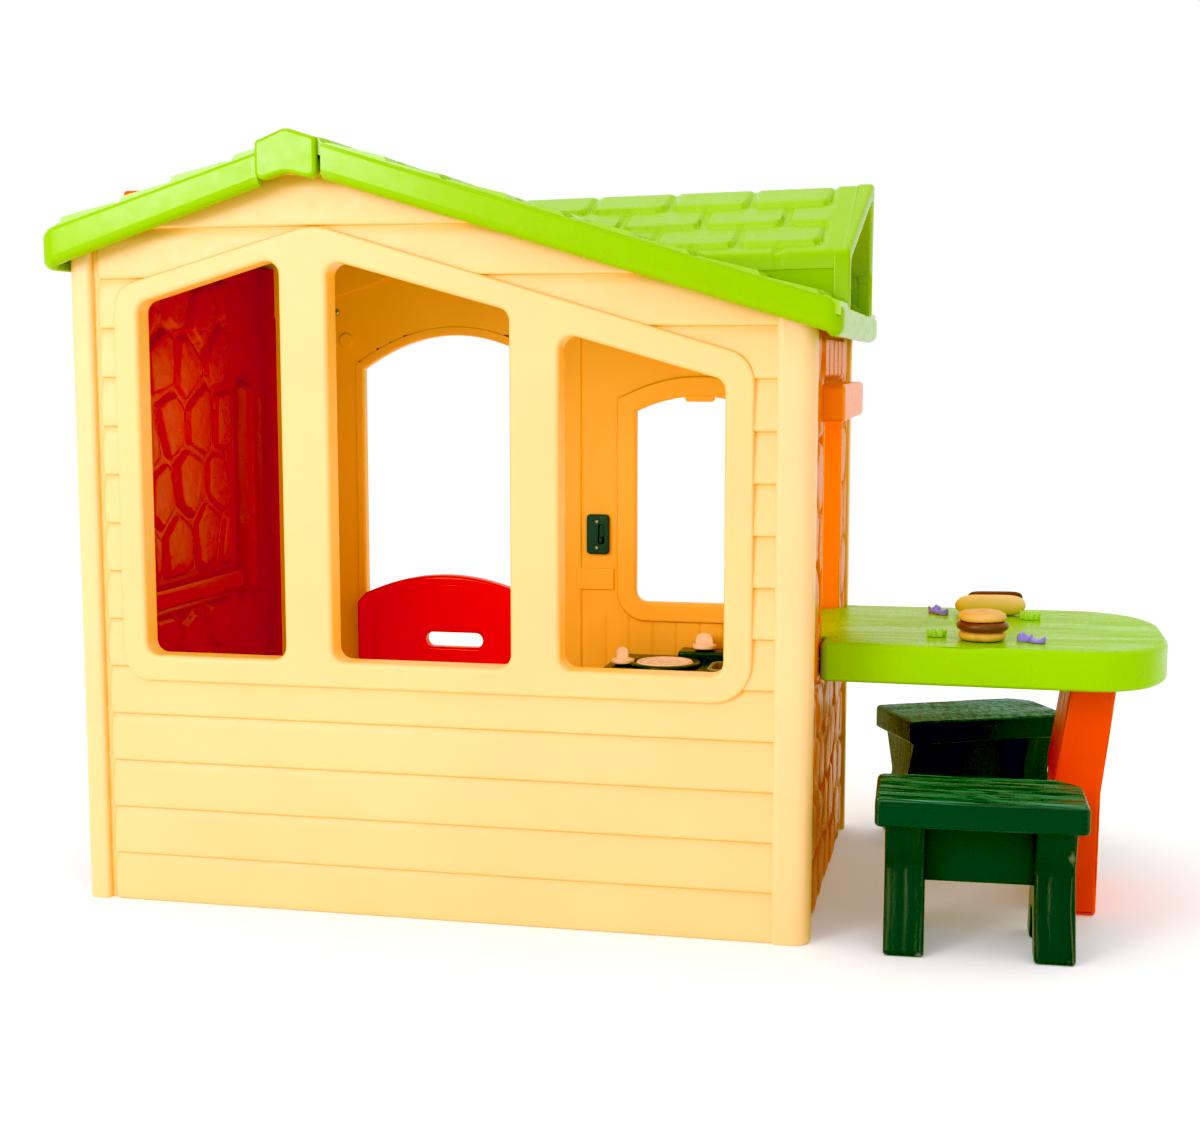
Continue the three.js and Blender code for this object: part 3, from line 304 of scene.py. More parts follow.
YELLOW = plastic("wall_yellow", (0.93, 0.56, 0.24), 0.40, shine=0.40)
# Painted shade: the roof and fascia copy of the lime plastic is darker than the table's copy below, to offset the
# stronger light on the fascia.
LIME = plastic("lime_plastic", (0.262, 0.500, 0.012), 0.27, coat=0.12, shine=0.36)
LIME_WOOD = plastic("lime_plastic", (0.29, 0.58, 0.012), 0.28, coat=0.15, grain=(25, 330, 60), shine=0.4)
# Painted shade: this deep red is the shaded look of the terracotta end-wall plastic inside the fireplace wall;
# the chimney breast shares it.
SHADED_RED_WALL = plastic("wall_red", (0.52, 0.006, 0.010), 0.30, shine=0.5)
TERRACOTTA = plastic("wall_terracotta", (0.78, 0.16, 0.030), 0.30, shine=0.22)
# Painted light: a lighter copy of the terracotta plastic for the serving window's rim and header, standing in for
# the light they catch.
TERRACOTTA_LIT = plastic("wall_terracotta", (0.95, 0.22, 0.03), 0.28, shine=0.6)
ORANGE = plastic("orange_plastic", (0.93, 0.072, 0.02), 0.34, grain=(60, 330, 25))
DOOR_RED = plastic("door_red", (0.83, 0.003, 0.04), 0.30, coat=0.10)
# The seat's paler ridges on top are a painted sheen.
GREEN = plastic("dark_green_plastic", (0.001, 0.044, 0.052), 0.26, coat=0.04, shine=0.22,
                grain=(9, 330, 200), top_sheen=(0.10, 0.36, 0.30))
GREEN_LEG = plastic("dark_green_plastic", (0.001, 0.036, 0.044), 0.22, coat=0.05, shine=0.24,
                    grain=(330, 300, 25))
GREEN_PLAIN = plastic("dark_green_plastic", (0.003, 0.050, 0.040), 0.25, coat=0.12)
TEAL = plastic("teal_plastic", (0.010, 0.075, 0.20), 0.35)
BEIGE = plastic("knob_beige", (0.86, 0.72, 0.60), 0.42)
GREY = plastic("basin_grey", (0.27, 0.27, 0.28), 0.40)
STEEL = plastic("screw_steel", (0.50, 0.50, 0.50), 0.32, metallic=1.0)
BUN = plastic("bun_tan", (0.78, 0.42, 0.15), 0.48, mottle=0.18, peel=0.4)
BUN_PALE = plastic("bun_tan", (0.86, 0.58, 0.26), 0.50, mottle=0.16, peel=0.4)
MEAT = plastic("patty_brown", (0.15, 0.022, 0.03), 0.28, coat=0.2, mottle=0.25, peel=0.6)
SAUSAGE = plastic("sausage_red", (0.13, 0.006, 0.02), 0.22, coat=0.3, mottle=0.2)
LETTUCE = plastic("lettuce_green", (0.42, 0.78, 0.16), 0.35, mottle=0.15)
ONION = plastic("onion_purple", (0.30, 0.20, 0.72), 0.32, mottle=0.15)


# ---------------------------------------------------------------- pieces
def piece(name, points, faces, material, body="house", weighted=False):
    """A closed mesh given in the house frame, riding on a body."""
    points = np.array(points, float)
    mesh = bpy.data.meshes.new(name)
    mesh.from_pydata((points + HOUSE).tolist(), [], [list(map(int, face)) for face in faces])
    bm = bmesh.new()
    bm.from_mesh(mesh)
    bmesh.ops.remove_doubles(bm, verts=bm.verts, dist=1e-6)
    bmesh.ops.recalc_face_normals(bm, faces=bm.faces)
    bm.to_mesh(mesh)
    bm.free()
    mesh.polygons.foreach_set("use_smooth", [True] * len(mesh.polygons))
    mesh.set_sharp_from_angle(angle=math.radians(50))
    made = bpy.data.objects.new(name, mesh)
    bpy.context.scene.collection.objects.link(made)
    made.data.materials.append(material)
    if weighted:
        even = made.modifiers.new("even_normals", "WEIGHTED_NORMAL")
        even.keep_sharp = True
    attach(made, body)
    return made


def map_plane(plane, u, v, depth):
    if plane == "XZ":
        return np.stack([u, depth, v], -1)
    if plane == "YZ":
        return np.stack([depth, u, v], -1)
    return np.stack([u, v, depth], -1)


def edge_profile(depth0, depth1, radius0, radius1, steps):
    """(inset, depth) pairs round a plate's edge, from its first face to its second."""
    profile = []
    for a in np.linspace(0, math.pi / 2, steps + 1):
        profile.append((radius0 * (1 - math.sin(a)), depth0 + radius0 * (1 - math.cos(a))))
    for a in np.linspace(0, math.pi / 2, steps + 1):
        profile.append((radius1 * (1 - math.cos(a)), depth1 - radius1 * (1 - math.sin(a))))
    return profile


def plate(name, plane, outline, depth0, depth1, material, holes=(), edge=0.004, hole_edge=None,
          second_edge=None, steps=4, shift=None, **options):
    """Flat moulding with rounded edges. edge rounds the first face's rim, second_edge the second's."""
    second_edge = edge if second_edge is None else second_edge
    hole_edge = edge if hole_edge is None else hole_edge
    loops = [outline if area(outline) > 0 else outline[::-1]]
    loops += [hole if area(hole) < 0 else hole[::-1] for hole in holes]
    points, faces, caps = [], [], ([], [])
    start = 0
    for number, loop in enumerate(loops):
        first = hole_edge if number else edge
        second = hole_edge if number else second_edge
        profile = edge_profile(depth0, depth1, first, second, steps)
        count = len(loop)
        for inset, depth in profile:
            moved = offset_loop(loop, inset)
            points.append(map_plane(plane, moved[:, 0], moved[:, 1], np.full(count, depth)))
        for ring in range(len(profile) - 1):
            low = start + ring * count
            for i in range(count):
                j = (i + 1) % count
                faces.append((low + i, low + j, low + count + j, low + count + i))
        last = start + (len(profile) - 1) * count
        caps[0].append((start, offset_loop(loop, first)))
        caps[1].append((last, offset_loop(loop, second)))
        start += len(profile) * count
    for cap in caps:
        indices = np.concatenate([np.arange(first, first + len(loop)) for first, loop in cap])
        if len(cap) == 1:
            faces.append(tuple(indices))
            continue
        vectors = [[Vector((u, v, 0)) for u, v in loop] for _, loop in cap]
        faces += [tuple(indices[i] for i in face) for face in tessellate_polygon(vectors)]
    points = np.concatenate(points)
    if shift is not None:
        points = shift(points)
    return piece(name, points, faces, material, weighted=True, **options)


def grid_solid(name, first, second, keep, material, **options):
    """Closed solid between two grids of points. keep says which of their cells are solid."""
    used = np.zeros(first.shape[:2], bool)
    for du in (0, 1):
        for dv in (0, 1):
            used[du:used.shape[0] - 1 + du, dv:used.shape[1] - 1 + dv] |= keep
    index = np.full(used.shape, -1)
    total = int(used.sum())
    index[used] = np.arange(total)
    a, b, c, d = index[:-1, :-1], index[1:, :-1], index[1:, 1:], index[:-1, 1:]
    faces = [np.stack([a[keep], b[keep], c[keep], d[keep]], 1)]
    faces.append(np.stack([d[keep], c[keep], b[keep], a[keep]], 1) + total)
    around = np.pad(keep, 1)
    sides = [
        (keep & ~around[:-2, 1:-1], a, d), (keep & ~around[2:, 1:-1], b, c),
        (keep & ~around[1:-1, :-2], a, b), (keep & ~around[1:-1, 2:], d, c),
    ]
    for bare, p, q in sides:
        faces.append(np.stack([p[bare], q[bare], q[bare] + total, p[bare] + total], 1))
    points = np.concatenate([first[used], second[used]])
    return piece(name, points, np.concatenate(faces), material, **options)


def loft(name, rings, material, closed=False, **options):
    """Skin over rings of points, capped at its ends unless the rings close on themselves."""
    rings = np.asarray(rings)
    count, around = rings.shape[:2]
    faces = []
    for k in range(count if closed else count - 1):
        low, high = k * around, ((k + 1) % count) * around
        for i in range(around):
            j = (i + 1) % around
            faces.append((low + i, low + j, high + j, high + i))
    if not closed:
        faces.append(tuple(range(around)))
        faces.append(tuple(range((count - 1) * around, count * around)))
    return piece(name, rings.reshape(-1, 3), faces, material, **options)


def lathe(name, profile, centre, material, segments=48, ripple=None, **options):
    """Body of revolution about an upright axis. ripple(angle, radius, z) may push its points about."""
    angles = np.linspace(0, 2 * math.pi, segments, endpoint=False)
    rings = []
    for radius, z in profile:
        r = np.full(segments, max(radius, 1e-4))
        height = np.full(segments, z)
        if ripple:
            r, height = ripple(angles, r, height)
        rings.append(np.stack([centre[0] + r * np.cos(angles), centre[1] + r * np.sin(angles), height], 1))
    return loft(name, rings, material, **options)


def bisect_lines(bm, chosen, axis, values):
    for value in values:
        faces = [f for f in bm.faces if chosen(f)]
        edges = {edge for face in faces for edge in face.edges}
        corners = {corner for face in faces for corner in face.verts}
        geometry = faces + list(edges) + list(corners)
        normal = Vector((0, 0, 0))
        normal[axis] = 1
        bmesh.ops.bisect_plane(bm, geom=geometry, dist=1e-5, plane_co=normal * value, plane_no=normal)


def carve_grain(obj, facing, across, along, pitch, depth, seed, limit=0.8):
    """Long shallow wavy grooves, as geometry, in the faces of obj that look towards facing.
    across and along are the axes across the grooves and along them."""
    facing = Vector(facing)
    bm = bmesh.new()
    bm.from_mesh(obj.data)
    bm.normal_update()
    chosen = lambda f: f.normal.dot(facing) > limit
    spots = [v.co for f in bm.faces if chosen(f) for v in f.verts]
    low = [min(p[k] for p in spots) for k in range(3)]
    high = [max(p[k] for p in spots) for k in range(3)]
    bisect_lines(bm, chosen, across, np.arange(low[across] + pitch / 2, high[across], pitch / 2))
    bisect_lines(bm, chosen, along, np.linspace(low[along], high[along], 26)[1:-1])
    bm.normal_update()
    inner = [v for v in bm.verts if v.link_faces and all(chosen(f) for f in v.link_faces)]
    place = np.array([v.co for v in inner])
    a, b = place[:, across], place[:, along]
    line = np.round((a - low[across]) / (pitch / 2)).astype(int)
    strength = 0.55 + 0.45 * noise2(b, a * 9, 0.09, seed)
    fall = depth * np.where(line % 2 == 0, strength, 0.12 * strength)
    sway = 0.32 * pitch * noise2(b, a, 0.07, seed + 1)
    normals = np.array([v.normal for v in inner])
    place = place - normals * fall[:, None]
    place[:, across] += sway
    for vertex, spot in zip(inner, place):
        vertex.co = spot
    bm.to_mesh(obj.data)
    bm.free()
    return obj


# ---------------------------------------------------------------- walls
def board_lines(top):
    """Heights of the grid lines that the lapped boards need."""
    within = np.array([0, 0.0006, 0.0014, 0.0026, 0.0045, 0.016, 0.036, 0.056, 0.0756])
    boards = int(top / BOARD) + 2
    values = (np.arange(boards)[:, None] * BOARD + within).ravel()
    return values[values < top]


def board_depth(x, z, first, last):
    """How far the lapped boards lie behind the posts, with their ends rounded at first and last."""
    above = np.mod(z + 1e-6, BOARD)
    share = above / BOARD
    depth = BOARD_LIP + BOARD_TAPER * share + 1.5 * quarter(above, 0.0045)
    curve = 0.003 + 0.004 * (2 * share - 1) ** 2
    end = np.minimum(x - first - curve, last - curve - x)
    return np.minimum(depth + 1.2 * quarter(end, 0.007), 0.0125)


def end_lines(first, last):
    close = np.array([0, 0.002, 0.003, 0.004, 0.0055, 0.007, 0.009, 0.011, 0.014, 0.018, 0.024])
    return np.concatenate([first + close, last - close])


def frame_outline():
    left, right, bottom = 0.079, 1.081, 0.361
    apex_x, apex_z = 0.409, 1.070
    return rounded([
        [left + 0.024, bottom, 0.028], [right, bottom, 0.060],
        [right, apex_z - 0.298 * (right - apex_x), 0.050], [apex_x, apex_z, 0.10],
        [left, apex_z - 0.281 * (apex_x - left), 0.045], [left, bottom + 0.030, 0.028],
    ], 8)


def front_window(left, right, top_left, top_right):
    corner = 0.020
    return rounded([[left, SILL, corner], [right, SILL, corner], [right, top_right, corner],
                    [left, top_left, corner]], 8)


def make_front_wall():
    first, last = LEFT_POST + 0.003, WIDTH - POST + 0.004
    xs = lines(first - 0.004, last, 0.009, end_lines(first, last))
    zs = board_lines(1.19)
    x, z = np.meshgrid(xs, zs, indexing="ij")
    far_off = last + WIDTH                 # so the right ends stay square, hidden behind their post
    front = map_plane("XZ", x, z, board_depth(x, z, first, far_off))
    back = map_plane("XZ", x, z, np.full_like(x, WALL - 0.001))
    cx, cz = (x[:-1, :-1] + x[1:, 1:]) / 2, (z[:-1, :-1] + z[1:, 1:]) / 2
    hidden = inside(cx, cz, offset_loop(frame_outline(), 0.012))
    keep = (cz < roof_top(cx) - ROOF_SKIN) & ~hidden
    siding = grid_solid("front_siding", front, back, keep, YELLOW)
    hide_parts("front_wall")
    windows = [front_window(*window) for window in FRONT_WINDOWS]
    plate("window_surround", "XZ", frame_outline(), -0.0005, WALL, YELLOW, holes=windows,
          edge=0.0045, hole_edge=0.008, second_edge=0.002, steps=5)


def make_posts():
    """Four corner posts with rounded edges and feet. Their tops end inside the roof."""
    def under_roof(points):
        high = points[:, 2] > 0.5
        points[high, 2] = roof_top(points[high, 0]) - 0.012
        return points

    back = 0.003
    right = WIDTH - POST
    posts = {
        "front_left": [
            [0.005, 0, 0.012], [LEFT_POST, 0, 0.009], [LEFT_POST, WALL, back], [0.005, WALL, back]],
        "front_right": [
            [right, 0, 0.011], [WIDTH, 0, 0.024], [WIDTH, WALL, back], [right, WALL, back]],
        "back_left": [
            [0, DEPTH - WALL, back], [POST, DEPTH - WALL, back], [POST, DEPTH, 0.009], [0, DEPTH, 0.012]],
        "back_right": [
            [right, DEPTH - WALL, back], [WIDTH, DEPTH - WALL, back], [WIDTH, DEPTH, 0.020],
            [right, DEPTH, 0.009]],
    }
    for place, corners in posts.items():
        plate(f"post_{place}", "XY", rounded(corners), 0.0, 1.0, YELLOW, edge=0.0025, second_edge=0.001,
              shift=under_roof)


def wall_grooves():
    return np.arange(FIRST_GROOVE, 1.11, GROOVE_PITCH)


def inner_relief(x, z):
    """Inner face of the doorway wall: how far it stands out towards the room."""
    out = np.zeros_like(x)
    recess = smooth(0.668, 0.671, x) * smooth(0.058, 0.063, z) * (1 - smooth(0.930, 0.936, z))
    out = out - 0.004 * recess
    for groove in wall_grooves():
        cut = np.exp(-((x - groove) / 0.0011) ** 2) * (z < 0.385)
        out = out - 0.0016 * cut
    return out


def make_back_wall():
    grooves = wall_grooves()
    first, last = POST - 0.004, WIDTH - POST + 0.004
    xs = lines(first, last, 0.009, end_lines(POST, WIDTH - POST), 0.668, 0.6695, 0.671,
               grooves, grooves - 0.0013, grooves + 0.0013)
    zs = lines(0, 1.19, 0.012, board_lines(1.19))
    x, z = np.meshgrid(xs, zs, indexing="ij")
    outer = map_plane("XZ", x, z, DEPTH - board_depth(x, z, POST, WIDTH - POST))
    inner = map_plane("XZ", x, z, DEPTH - WALL + 0.0015 - inner_relief(x, z))
    cx, cz = (x[:-1, :-1] + x[1:, 1:]) / 2, (z[:-1, :-1] + z[1:, 1:]) / 2
    doorway = arched(*DOORWAY)
    window = arched(*BACK_WINDOW, 0.020)
    keep = cz < roof_top(cx) - ROOF_SKIN
    for opening in (doorway, window):
        keep &= ~inside(cx, cz, offset_loop(opening, -0.014))
    siding = grid_solid("back_siding", inner, outer, keep, YELLOW)
    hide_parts("back_wall")

    inside_face, middle = DEPTH - WALL - 0.0008, DEPTH - WALL / 2
    grow = lambda loop, by: offset_loop(loop, -by)
    plate("doorway_rim", "XZ", grow(doorway, 0.016), inside_face, middle, YELLOW, holes=[doorway],
          edge=0.0008, hole_edge=0.005, steps=4)
    plate("doorway_trim", "XZ", grow(doorway, 0.034), middle - 0.006, DEPTH + 0.0005, YELLOW,
          holes=[grow(doorway, 0.012)], edge=0.003, hole_edge=0.005)
    plate("back_window_rim", "XZ", grow(window, 0.037), inside_face, middle, YELLOW, holes=[window],
          edge=0.0035, hole_edge=0.006)
    plate("back_window_trim", "XZ", grow(window, 0.034), middle - 0.006, DEPTH + 0.0005, YELLOW,
          holes=[grow(window, 0.010)], edge=0.003, hole_edge=0.006)
    latch = rounded([[0.868, 0.790, 0.004], [0.917, 0.790, 0.004], [0.924, 0.806, 0], [0.861, 0.806, 0]])
    plate("back_window_tab", "XZ", latch, inside_face + 0.004, middle, YELLOW, edge=0.003)
    plate("wall_pad", "XZ", rectangle(0.660, 0.732, 0.437, 0.477, 0.002), inside_face + 0.0012,
          middle, YELLOW, edge=0.0012)
    plate("wall_boss", "XZ", circle(0.209, 0.904, 0.014), inside_face - 0.0035, middle, YELLOW, edge=0.0035)
    drop = 0.141                                        # the gable panel's lower edge below the roof
    gable = [[x, float(roof_top(x)) - low] for x, low in
             ((0.046, drop), (RIDGE_X - 1e-4, drop), (RIDGE_X - 1e-4, 0.03), (0.046, 0.03))]
    plate("gable_panel", "XZ", np.array(gable), inside_face - 0.0022, middle, YELLOW, edge=0.0016)
    for name, (z0, z1) in (("lower", DOOR_LUGS[0]), ("upper", DOOR_LUGS[1])):
        lug = [[0.237, 0.646, 0.0105], [0.259, 0.646, 0.0105], [0.257, 0.680, 0], [0.237, 0.680, 0]]
        plate(f"door_lug_{name}", "XY", rounded(lug), z0, z1, YELLOW, edge=0.002)


def stone_height(u, v, region, pitch, seed, height=0.006, joint=0.010):
    """Rounded field stones inside region (u0, u1, v0, v1), and how high they stand at each point."""
    rng = np.random.default_rng(seed)
    u0, u1, v0, v1 = region
    rows = max(1, round((v1 - v0) / pitch[1]))
    columns = max(1, round((u1 - u0) / pitch[0]))
    seeds = []
    for row in range(-1, rows + 1):
        for column in range(-1, columns + 2):
            place = column + 0.5 * (row % 2) + rng.uniform(-0.2, 0.2)
            level = row + 0.5 + rng.uniform(-0.22, 0.22)
            tall = rng.uniform(0.8, 1.2)
            seeds.append((u0 + place * (u1 - u0) / columns, v0 + level * (v1 - v0) / rows, tall))
    squash = pitch[0] / pitch[1]
    nearest = np.full(u.shape, 9.0)
    second = np.full(u.shape, 9.0)
    level = np.ones(u.shape)
    for su, sv, tall in seeds:
        distance = np.hypot(u - su, (v - sv) * squash)
        closer = distance < nearest
        second = np.where(closer, nearest, np.minimum(second, distance))
        level = np.where(closer, tall, level)
        nearest = np.minimum(nearest, distance)
    border = np.minimum.reduce([u - u0, u1 - u, v - v0, v1 - v])
    margin = np.minimum((second - nearest) / 2 - joint / 2, border)
    lost = quarter(margin, 0.009) / 0.009
    dome = 0.85 + 0.15 * smooth(0, 0.035, margin)
    rough = 0.05 * noise2(u, v, 0.014, seed + 5) + 0.05 * noise2(u, v, 0.006, seed + 6)
    return height * level * (1 - lost) * dome * (1 + rough)


def box_bump(u, v, u0, u1, v0, v1, height, radius):
    """A raised bar with rounded edges."""
    inner = np.minimum.reduce([u - u0, u1 - u, v - v0, v1 - v])
    return height * (1 - quarter(inner, radius) / radius)


def fireplace_relief(y, z):
    """Inner face of the fireplace wall."""
    out = stone_height(y, z, (0.165, 0.488, 0.494, 1.010), (0.104, 0.100), 11, 0.0100, 0.014)
    low_stones = stone_height(y, z, (0.068, 0.470, 0.050, 0.428), (0.100, 0.095), 12, 0.0100, 0.014)
    out = np.maximum(out, low_stones)
    out = np.maximum(out, box_bump(y, z, 0.142, 0.502, 0.446, 0.484, 0.021, 0.005))
    out = np.maximum(out, box_bump(y, z, 0.152, 0.494, 0.432, 0.447, 0.010, 0.004))
    middle, half, spring, bottom = 0.580, 0.065, 0.790, 0.420
    rise = 0.057
    across = np.abs(y - middle)
    arch = np.hypot(across, (z - spring) * half / rise)
    past = np.where(z > spring, arch, np.maximum(across, bottom + half - z))
    out = out - 0.014 * (1 - smooth(half - 0.010, half, past)) * (z > bottom)
    end = np.minimum(z - 0.424, 0.826 - z)
    reach = np.clip(1 - ((y - 0.572) / 0.021) ** 2, 0, 1) * np.clip(end / 0.010, 0, 1)
    out = out + 0.029 * np.sqrt(reach)
    corner = np.maximum(smooth(0.653, 0.657, y), 1 - smooth(0.058, 0.062, y))
    return out * (1 - corner) + 0.020 * corner


def make_left_wall():
    ys = lines(WALL - 0.004, DEPTH - WALL + 0.004, 0.0050, 0.653, 0.655, 0.657, 0.058, 0.060, 0.062)
    zs = lines(0.001, 1.040, 0.0050, board_lines(1.040), 0.4465, 0.4845, 0.4475)
    y, z = np.meshgrid(ys, zs, indexing="ij")
    inner = map_plane("YZ", y, z, 0.045 + fireplace_relief(y, z))
    outer = map_plane("YZ", y, z, 0.6 * board_depth(y, z, WALL, DEPTH - WALL))
    keep = np.ones((len(ys) - 1, len(zs) - 1), bool)
    wall = grid_solid("fireplace_wall", inner, outer, keep, SHADED_RED_WALL)
    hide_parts("left_wall")


def make_chimney():
    """Stone chimney breast outside the left wall: rounded rings of stones from the ground up."""
    depth, y0, y1, top = 0.0385, 0.300, 0.420, 1.118
    corner = 0.012
    path = rounded([[0.004, y0, 0], [-depth, y0, corner], [-depth, y1, corner], [0.004, y1, 0]], 6)
    fine = []
    for a, b in zip(path[:-1], path[1:]):
        steps = max(1, round(np.linalg.norm(b - a) / 0.0055))
        fine += [a + (b - a) * k / steps for k in range(steps)]
    fine = np.array(fine + [path[-1]])
    run = np.concatenate([[0], np.cumsum(np.linalg.norm(np.diff(fine, axis=0), axis=1))])
    forward = np.gradient(fine, axis=0)
    forward /= np.linalg.norm(forward, axis=1)[:, None]
    outward = np.stack([forward[:, 1], -forward[:, 0]], 1)
    outward *= -1 if outward[len(fine) // 2, 0] > 0 else 1
    rings = []
    for z in lines(0.001, top, 0.0055):
        height = stone_height(run, np.full_like(run, z), (0.004, run[-1] - 0.004, 0.010, 1.108),
                              (0.092, 0.100), 21, 0.0065)
        place = fine + outward * height[:, None]
        rings.append(np.column_stack([place, np.full(len(place), z)]))
    loft("chimney_breast", rings, SHADED_RED_WALL)

    cap = rectangle(-0.050, 0.016, 0.290, 0.430, 0.010)
    mouth = rectangle(-0.036, 0.002, 0.304, 0.416, 0.006)
    rim = plate("chimney_cap_rim", "XY", cap, 1.1183, 1.155, ORANGE, holes=[mouth], edge=0.005,
                hole_edge=0.003)
    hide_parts("chimney_cap")
    plate("chimney_cap_floor", "XY", rectangle(-0.038, 0.004, 0.302, 0.418, 0.006), 1.1183, 1.137,
          ORANGE, edge=0.001)


def stone_wall_relief(y, z):
    """Outer face of the wall with the serving window."""
    near, far, sill, top = SERVING
    first, last = WALL + 0.006, DEPTH - WALL - 0.006
    fields = [
        ((first, last, 0.006, sill - 0.012), (0.098, 0.086)),
        ((first, near - 0.010, sill - 0.006, 0.924), (0.11, 0.092)),
        ((far + 0.018, last, sill - 0.006, 0.924), (0.10, 0.092)),
    ]
    out = np.zeros_like(y)
    for seed, (region, pitch) in enumerate(fields, 31):
        out = np.maximum(out, stone_height(y, z, region, pitch, seed, 0.0064))
    for k in range(5):
        start = near - 0.026 + k * 0.078
        out = np.maximum(out, box_bump(y, z, start, start + 0.070, 0.836, 0.902, 0.009, 0.006))
    return out


def make_right_wall():
    near, far, sill, top = SERVING
    ys = lines(WALL - 0.004, DEPTH - WALL + 0.004, 0.0055, near - 0.006, far + 0.006)
    zs = lines(0.001, 0.930, 0.0055, sill - 0.006, top + 0.006)
    y, z = np.meshgrid(ys, zs, indexing="ij")
    inner = map_plane("YZ", y, z, np.full_like(y, WIDTH - 0.045))
    outer = map_plane("YZ", y, z, WIDTH - RIGHT_SINK + stone_wall_relief(y, z))
    cy, cz = (y[:-1, :-1] + y[1:, 1:]) / 2, (z[:-1, :-1] + z[1:, 1:]) / 2
    hole = (cy > near - 0.006) & (cy < far + 0.006) & (cz > sill - 0.006) & (cz < top + 0.006)
    wall = grid_solid("stone_wall", inner, outer, ~hole, TERRACOTTA)
    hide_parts("right_wall")
    opening = rectangle(near, far, sill, top, 0.014)
    plate("serving_window_rim", "YZ", offset_loop(opening, -0.013), WIDTH - 0.0465, WIDTH - 0.003,
          TERRACOTTA_LIT, holes=[opening], edge=0.003, hole_edge=0.005)
    header = rectangle(near - 0.034, far + 0.034, 0.772, 0.829, 0.010)
    plate("serving_window_header", "YZ", header, WIDTH - 0.016, WIDTH + 0.030, TERRACOTTA_LIT, edge=0.006)


# ---------------------------------------------------------------- roof
def shingle_height(down, along, courses, width, rise=0.0058, gap=0.008, corner=0.017):
    """Height of overlapping shingles. down is the distance down the slope and along the distance
    across it. courses lists the places where each course ends, from the top."""
    height = np.zeros_like(down)
    for row, (start, end) in enumerate(zip(courses[:-1], courses[1:])):
        shift = 0.5 * (row % 2)
        centre = (np.floor(along / width + shift) + 0.5 - shift) * width
        du = np.abs(along - centre) - (width - gap) / 2 + corner
        dv = down - end + corner
        corner_away = np.hypot(np.maximum(du, 0), np.maximum(dv, 0))
        outside = corner_away + np.minimum(np.maximum(du, dv), 0) - corner
        lost = quarter(-outside, 0.0045) / 0.0045
        thick = rise * (0.25 + 0.75 * (down - start) / (end - start))
        here = (down >= start) & (down < end)
        height = np.where(here, thick * (1 - np.clip(lost, 0, 1)), height)
    return height


def roof_slope(name, eave, cap, replaced, rise, wanted):
    """Shingled slab from the ridge cap to the eave. wanted(x, y) says where it is solid."""
    down = np.sign(eave - cap)
    start = cap - down * 0.006
    length = abs(eave - start) - 0.004
    distance = lines(0, length, 0.0042)
    ys = lines(-OVERHANG + 0.004, DEPTH + OVERHANG - 0.004, 0.0052)
    pitch = 0.092
    first = (abs(eave - cap) - FASCIA_THICK) % pitch
    courses = [first + k * pitch - pitch for k in range(12)]
    s, y = np.meshgrid(distance, ys, indexing="ij")
    x = start + down * s
    top = roof_top(x) + shingle_height(s, y + 0.03, courses, 0.130, rise) * (s < length - 0.014)
    upper = map_plane("XY", x, y, top)
    lower = map_plane("XY", x, y, roof_top(x) - SLAB)
    cx, cy = (x[:-1, :-1] + x[1:, 1:]) / 2, (y[:-1, :-1] + y[1:, 1:]) / 2
    made = grid_solid(name, upper, lower, wanted(cx, cy), LIME)
    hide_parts(replaced)


def corner_path(eave, cap, radius, front, back, steps=8):
    """Plan of the fascia: along the front rake, round the eave's corners and back up the far rake.
    Gives points and outward directions."""
    down = np.sign(eave - cap)
    turn_x = eave - down * radius
    path, outward = [], []
    for x in np.linspace(cap, turn_x, 30):
        path.append((x, front))
        outward.append((0, -1))
    for a in np.linspace(0, math.pi / 2, steps + 1)[1:]:
        path.append((turn_x + down * radius * math.sin(a), front + radius * (1 - math.cos(a))))
        outward.append((down * math.sin(a), -math.cos(a)))
    for y in np.linspace(front + radius, back - radius, 40)[1:]:
        path.append((eave, y))
        outward.append((down, 0))
    for a in np.linspace(0, math.pi / 2, steps + 1)[1:]:
        path.append((turn_x + down * radius * math.cos(a), back - radius * (1 - math.sin(a))))
        outward.append((down * math.cos(a), math.sin(a)))
    for x in np.linspace(turn_x, cap, 30)[1:]:
        path.append((x, back))
        outward.append((0, 1))
    return np.array(path), np.array(outward)


def fascia(name, eave, cap, eave_thick, eave_depth, ridge_depth):
    """Band round the edge of one roof slope, well rounded below."""
    path, outward = corner_path(eave, cap, 0.026, -OVERHANG, DEPTH + OVERHANG)
    rings = []
    for (x, y), (nx, ny) in zip(path, outward):
        thick = FASCIA_THICK + (eave_thick - FASCIA_THICK) * abs(nx)
        depth = eave_depth + (ridge_depth - eave_depth) * abs((x - eave) / (cap - eave))
        high = -0.0005 - 0.004 * nx * nx
        section = rounded([
            [0, high, min(0.007, thick / 2.5)], [thick, high, 0.002],
            [thick, -depth, 0.003], [0, -depth, min(0.014, thick - 0.004)],
        ], 6)
        top = float(roof_top(np.array(x)))
        rings.append([(x - nx * a, y - ny * a, top + b) for a, b in section])
    loft(name, rings, LIME, weighted=True)


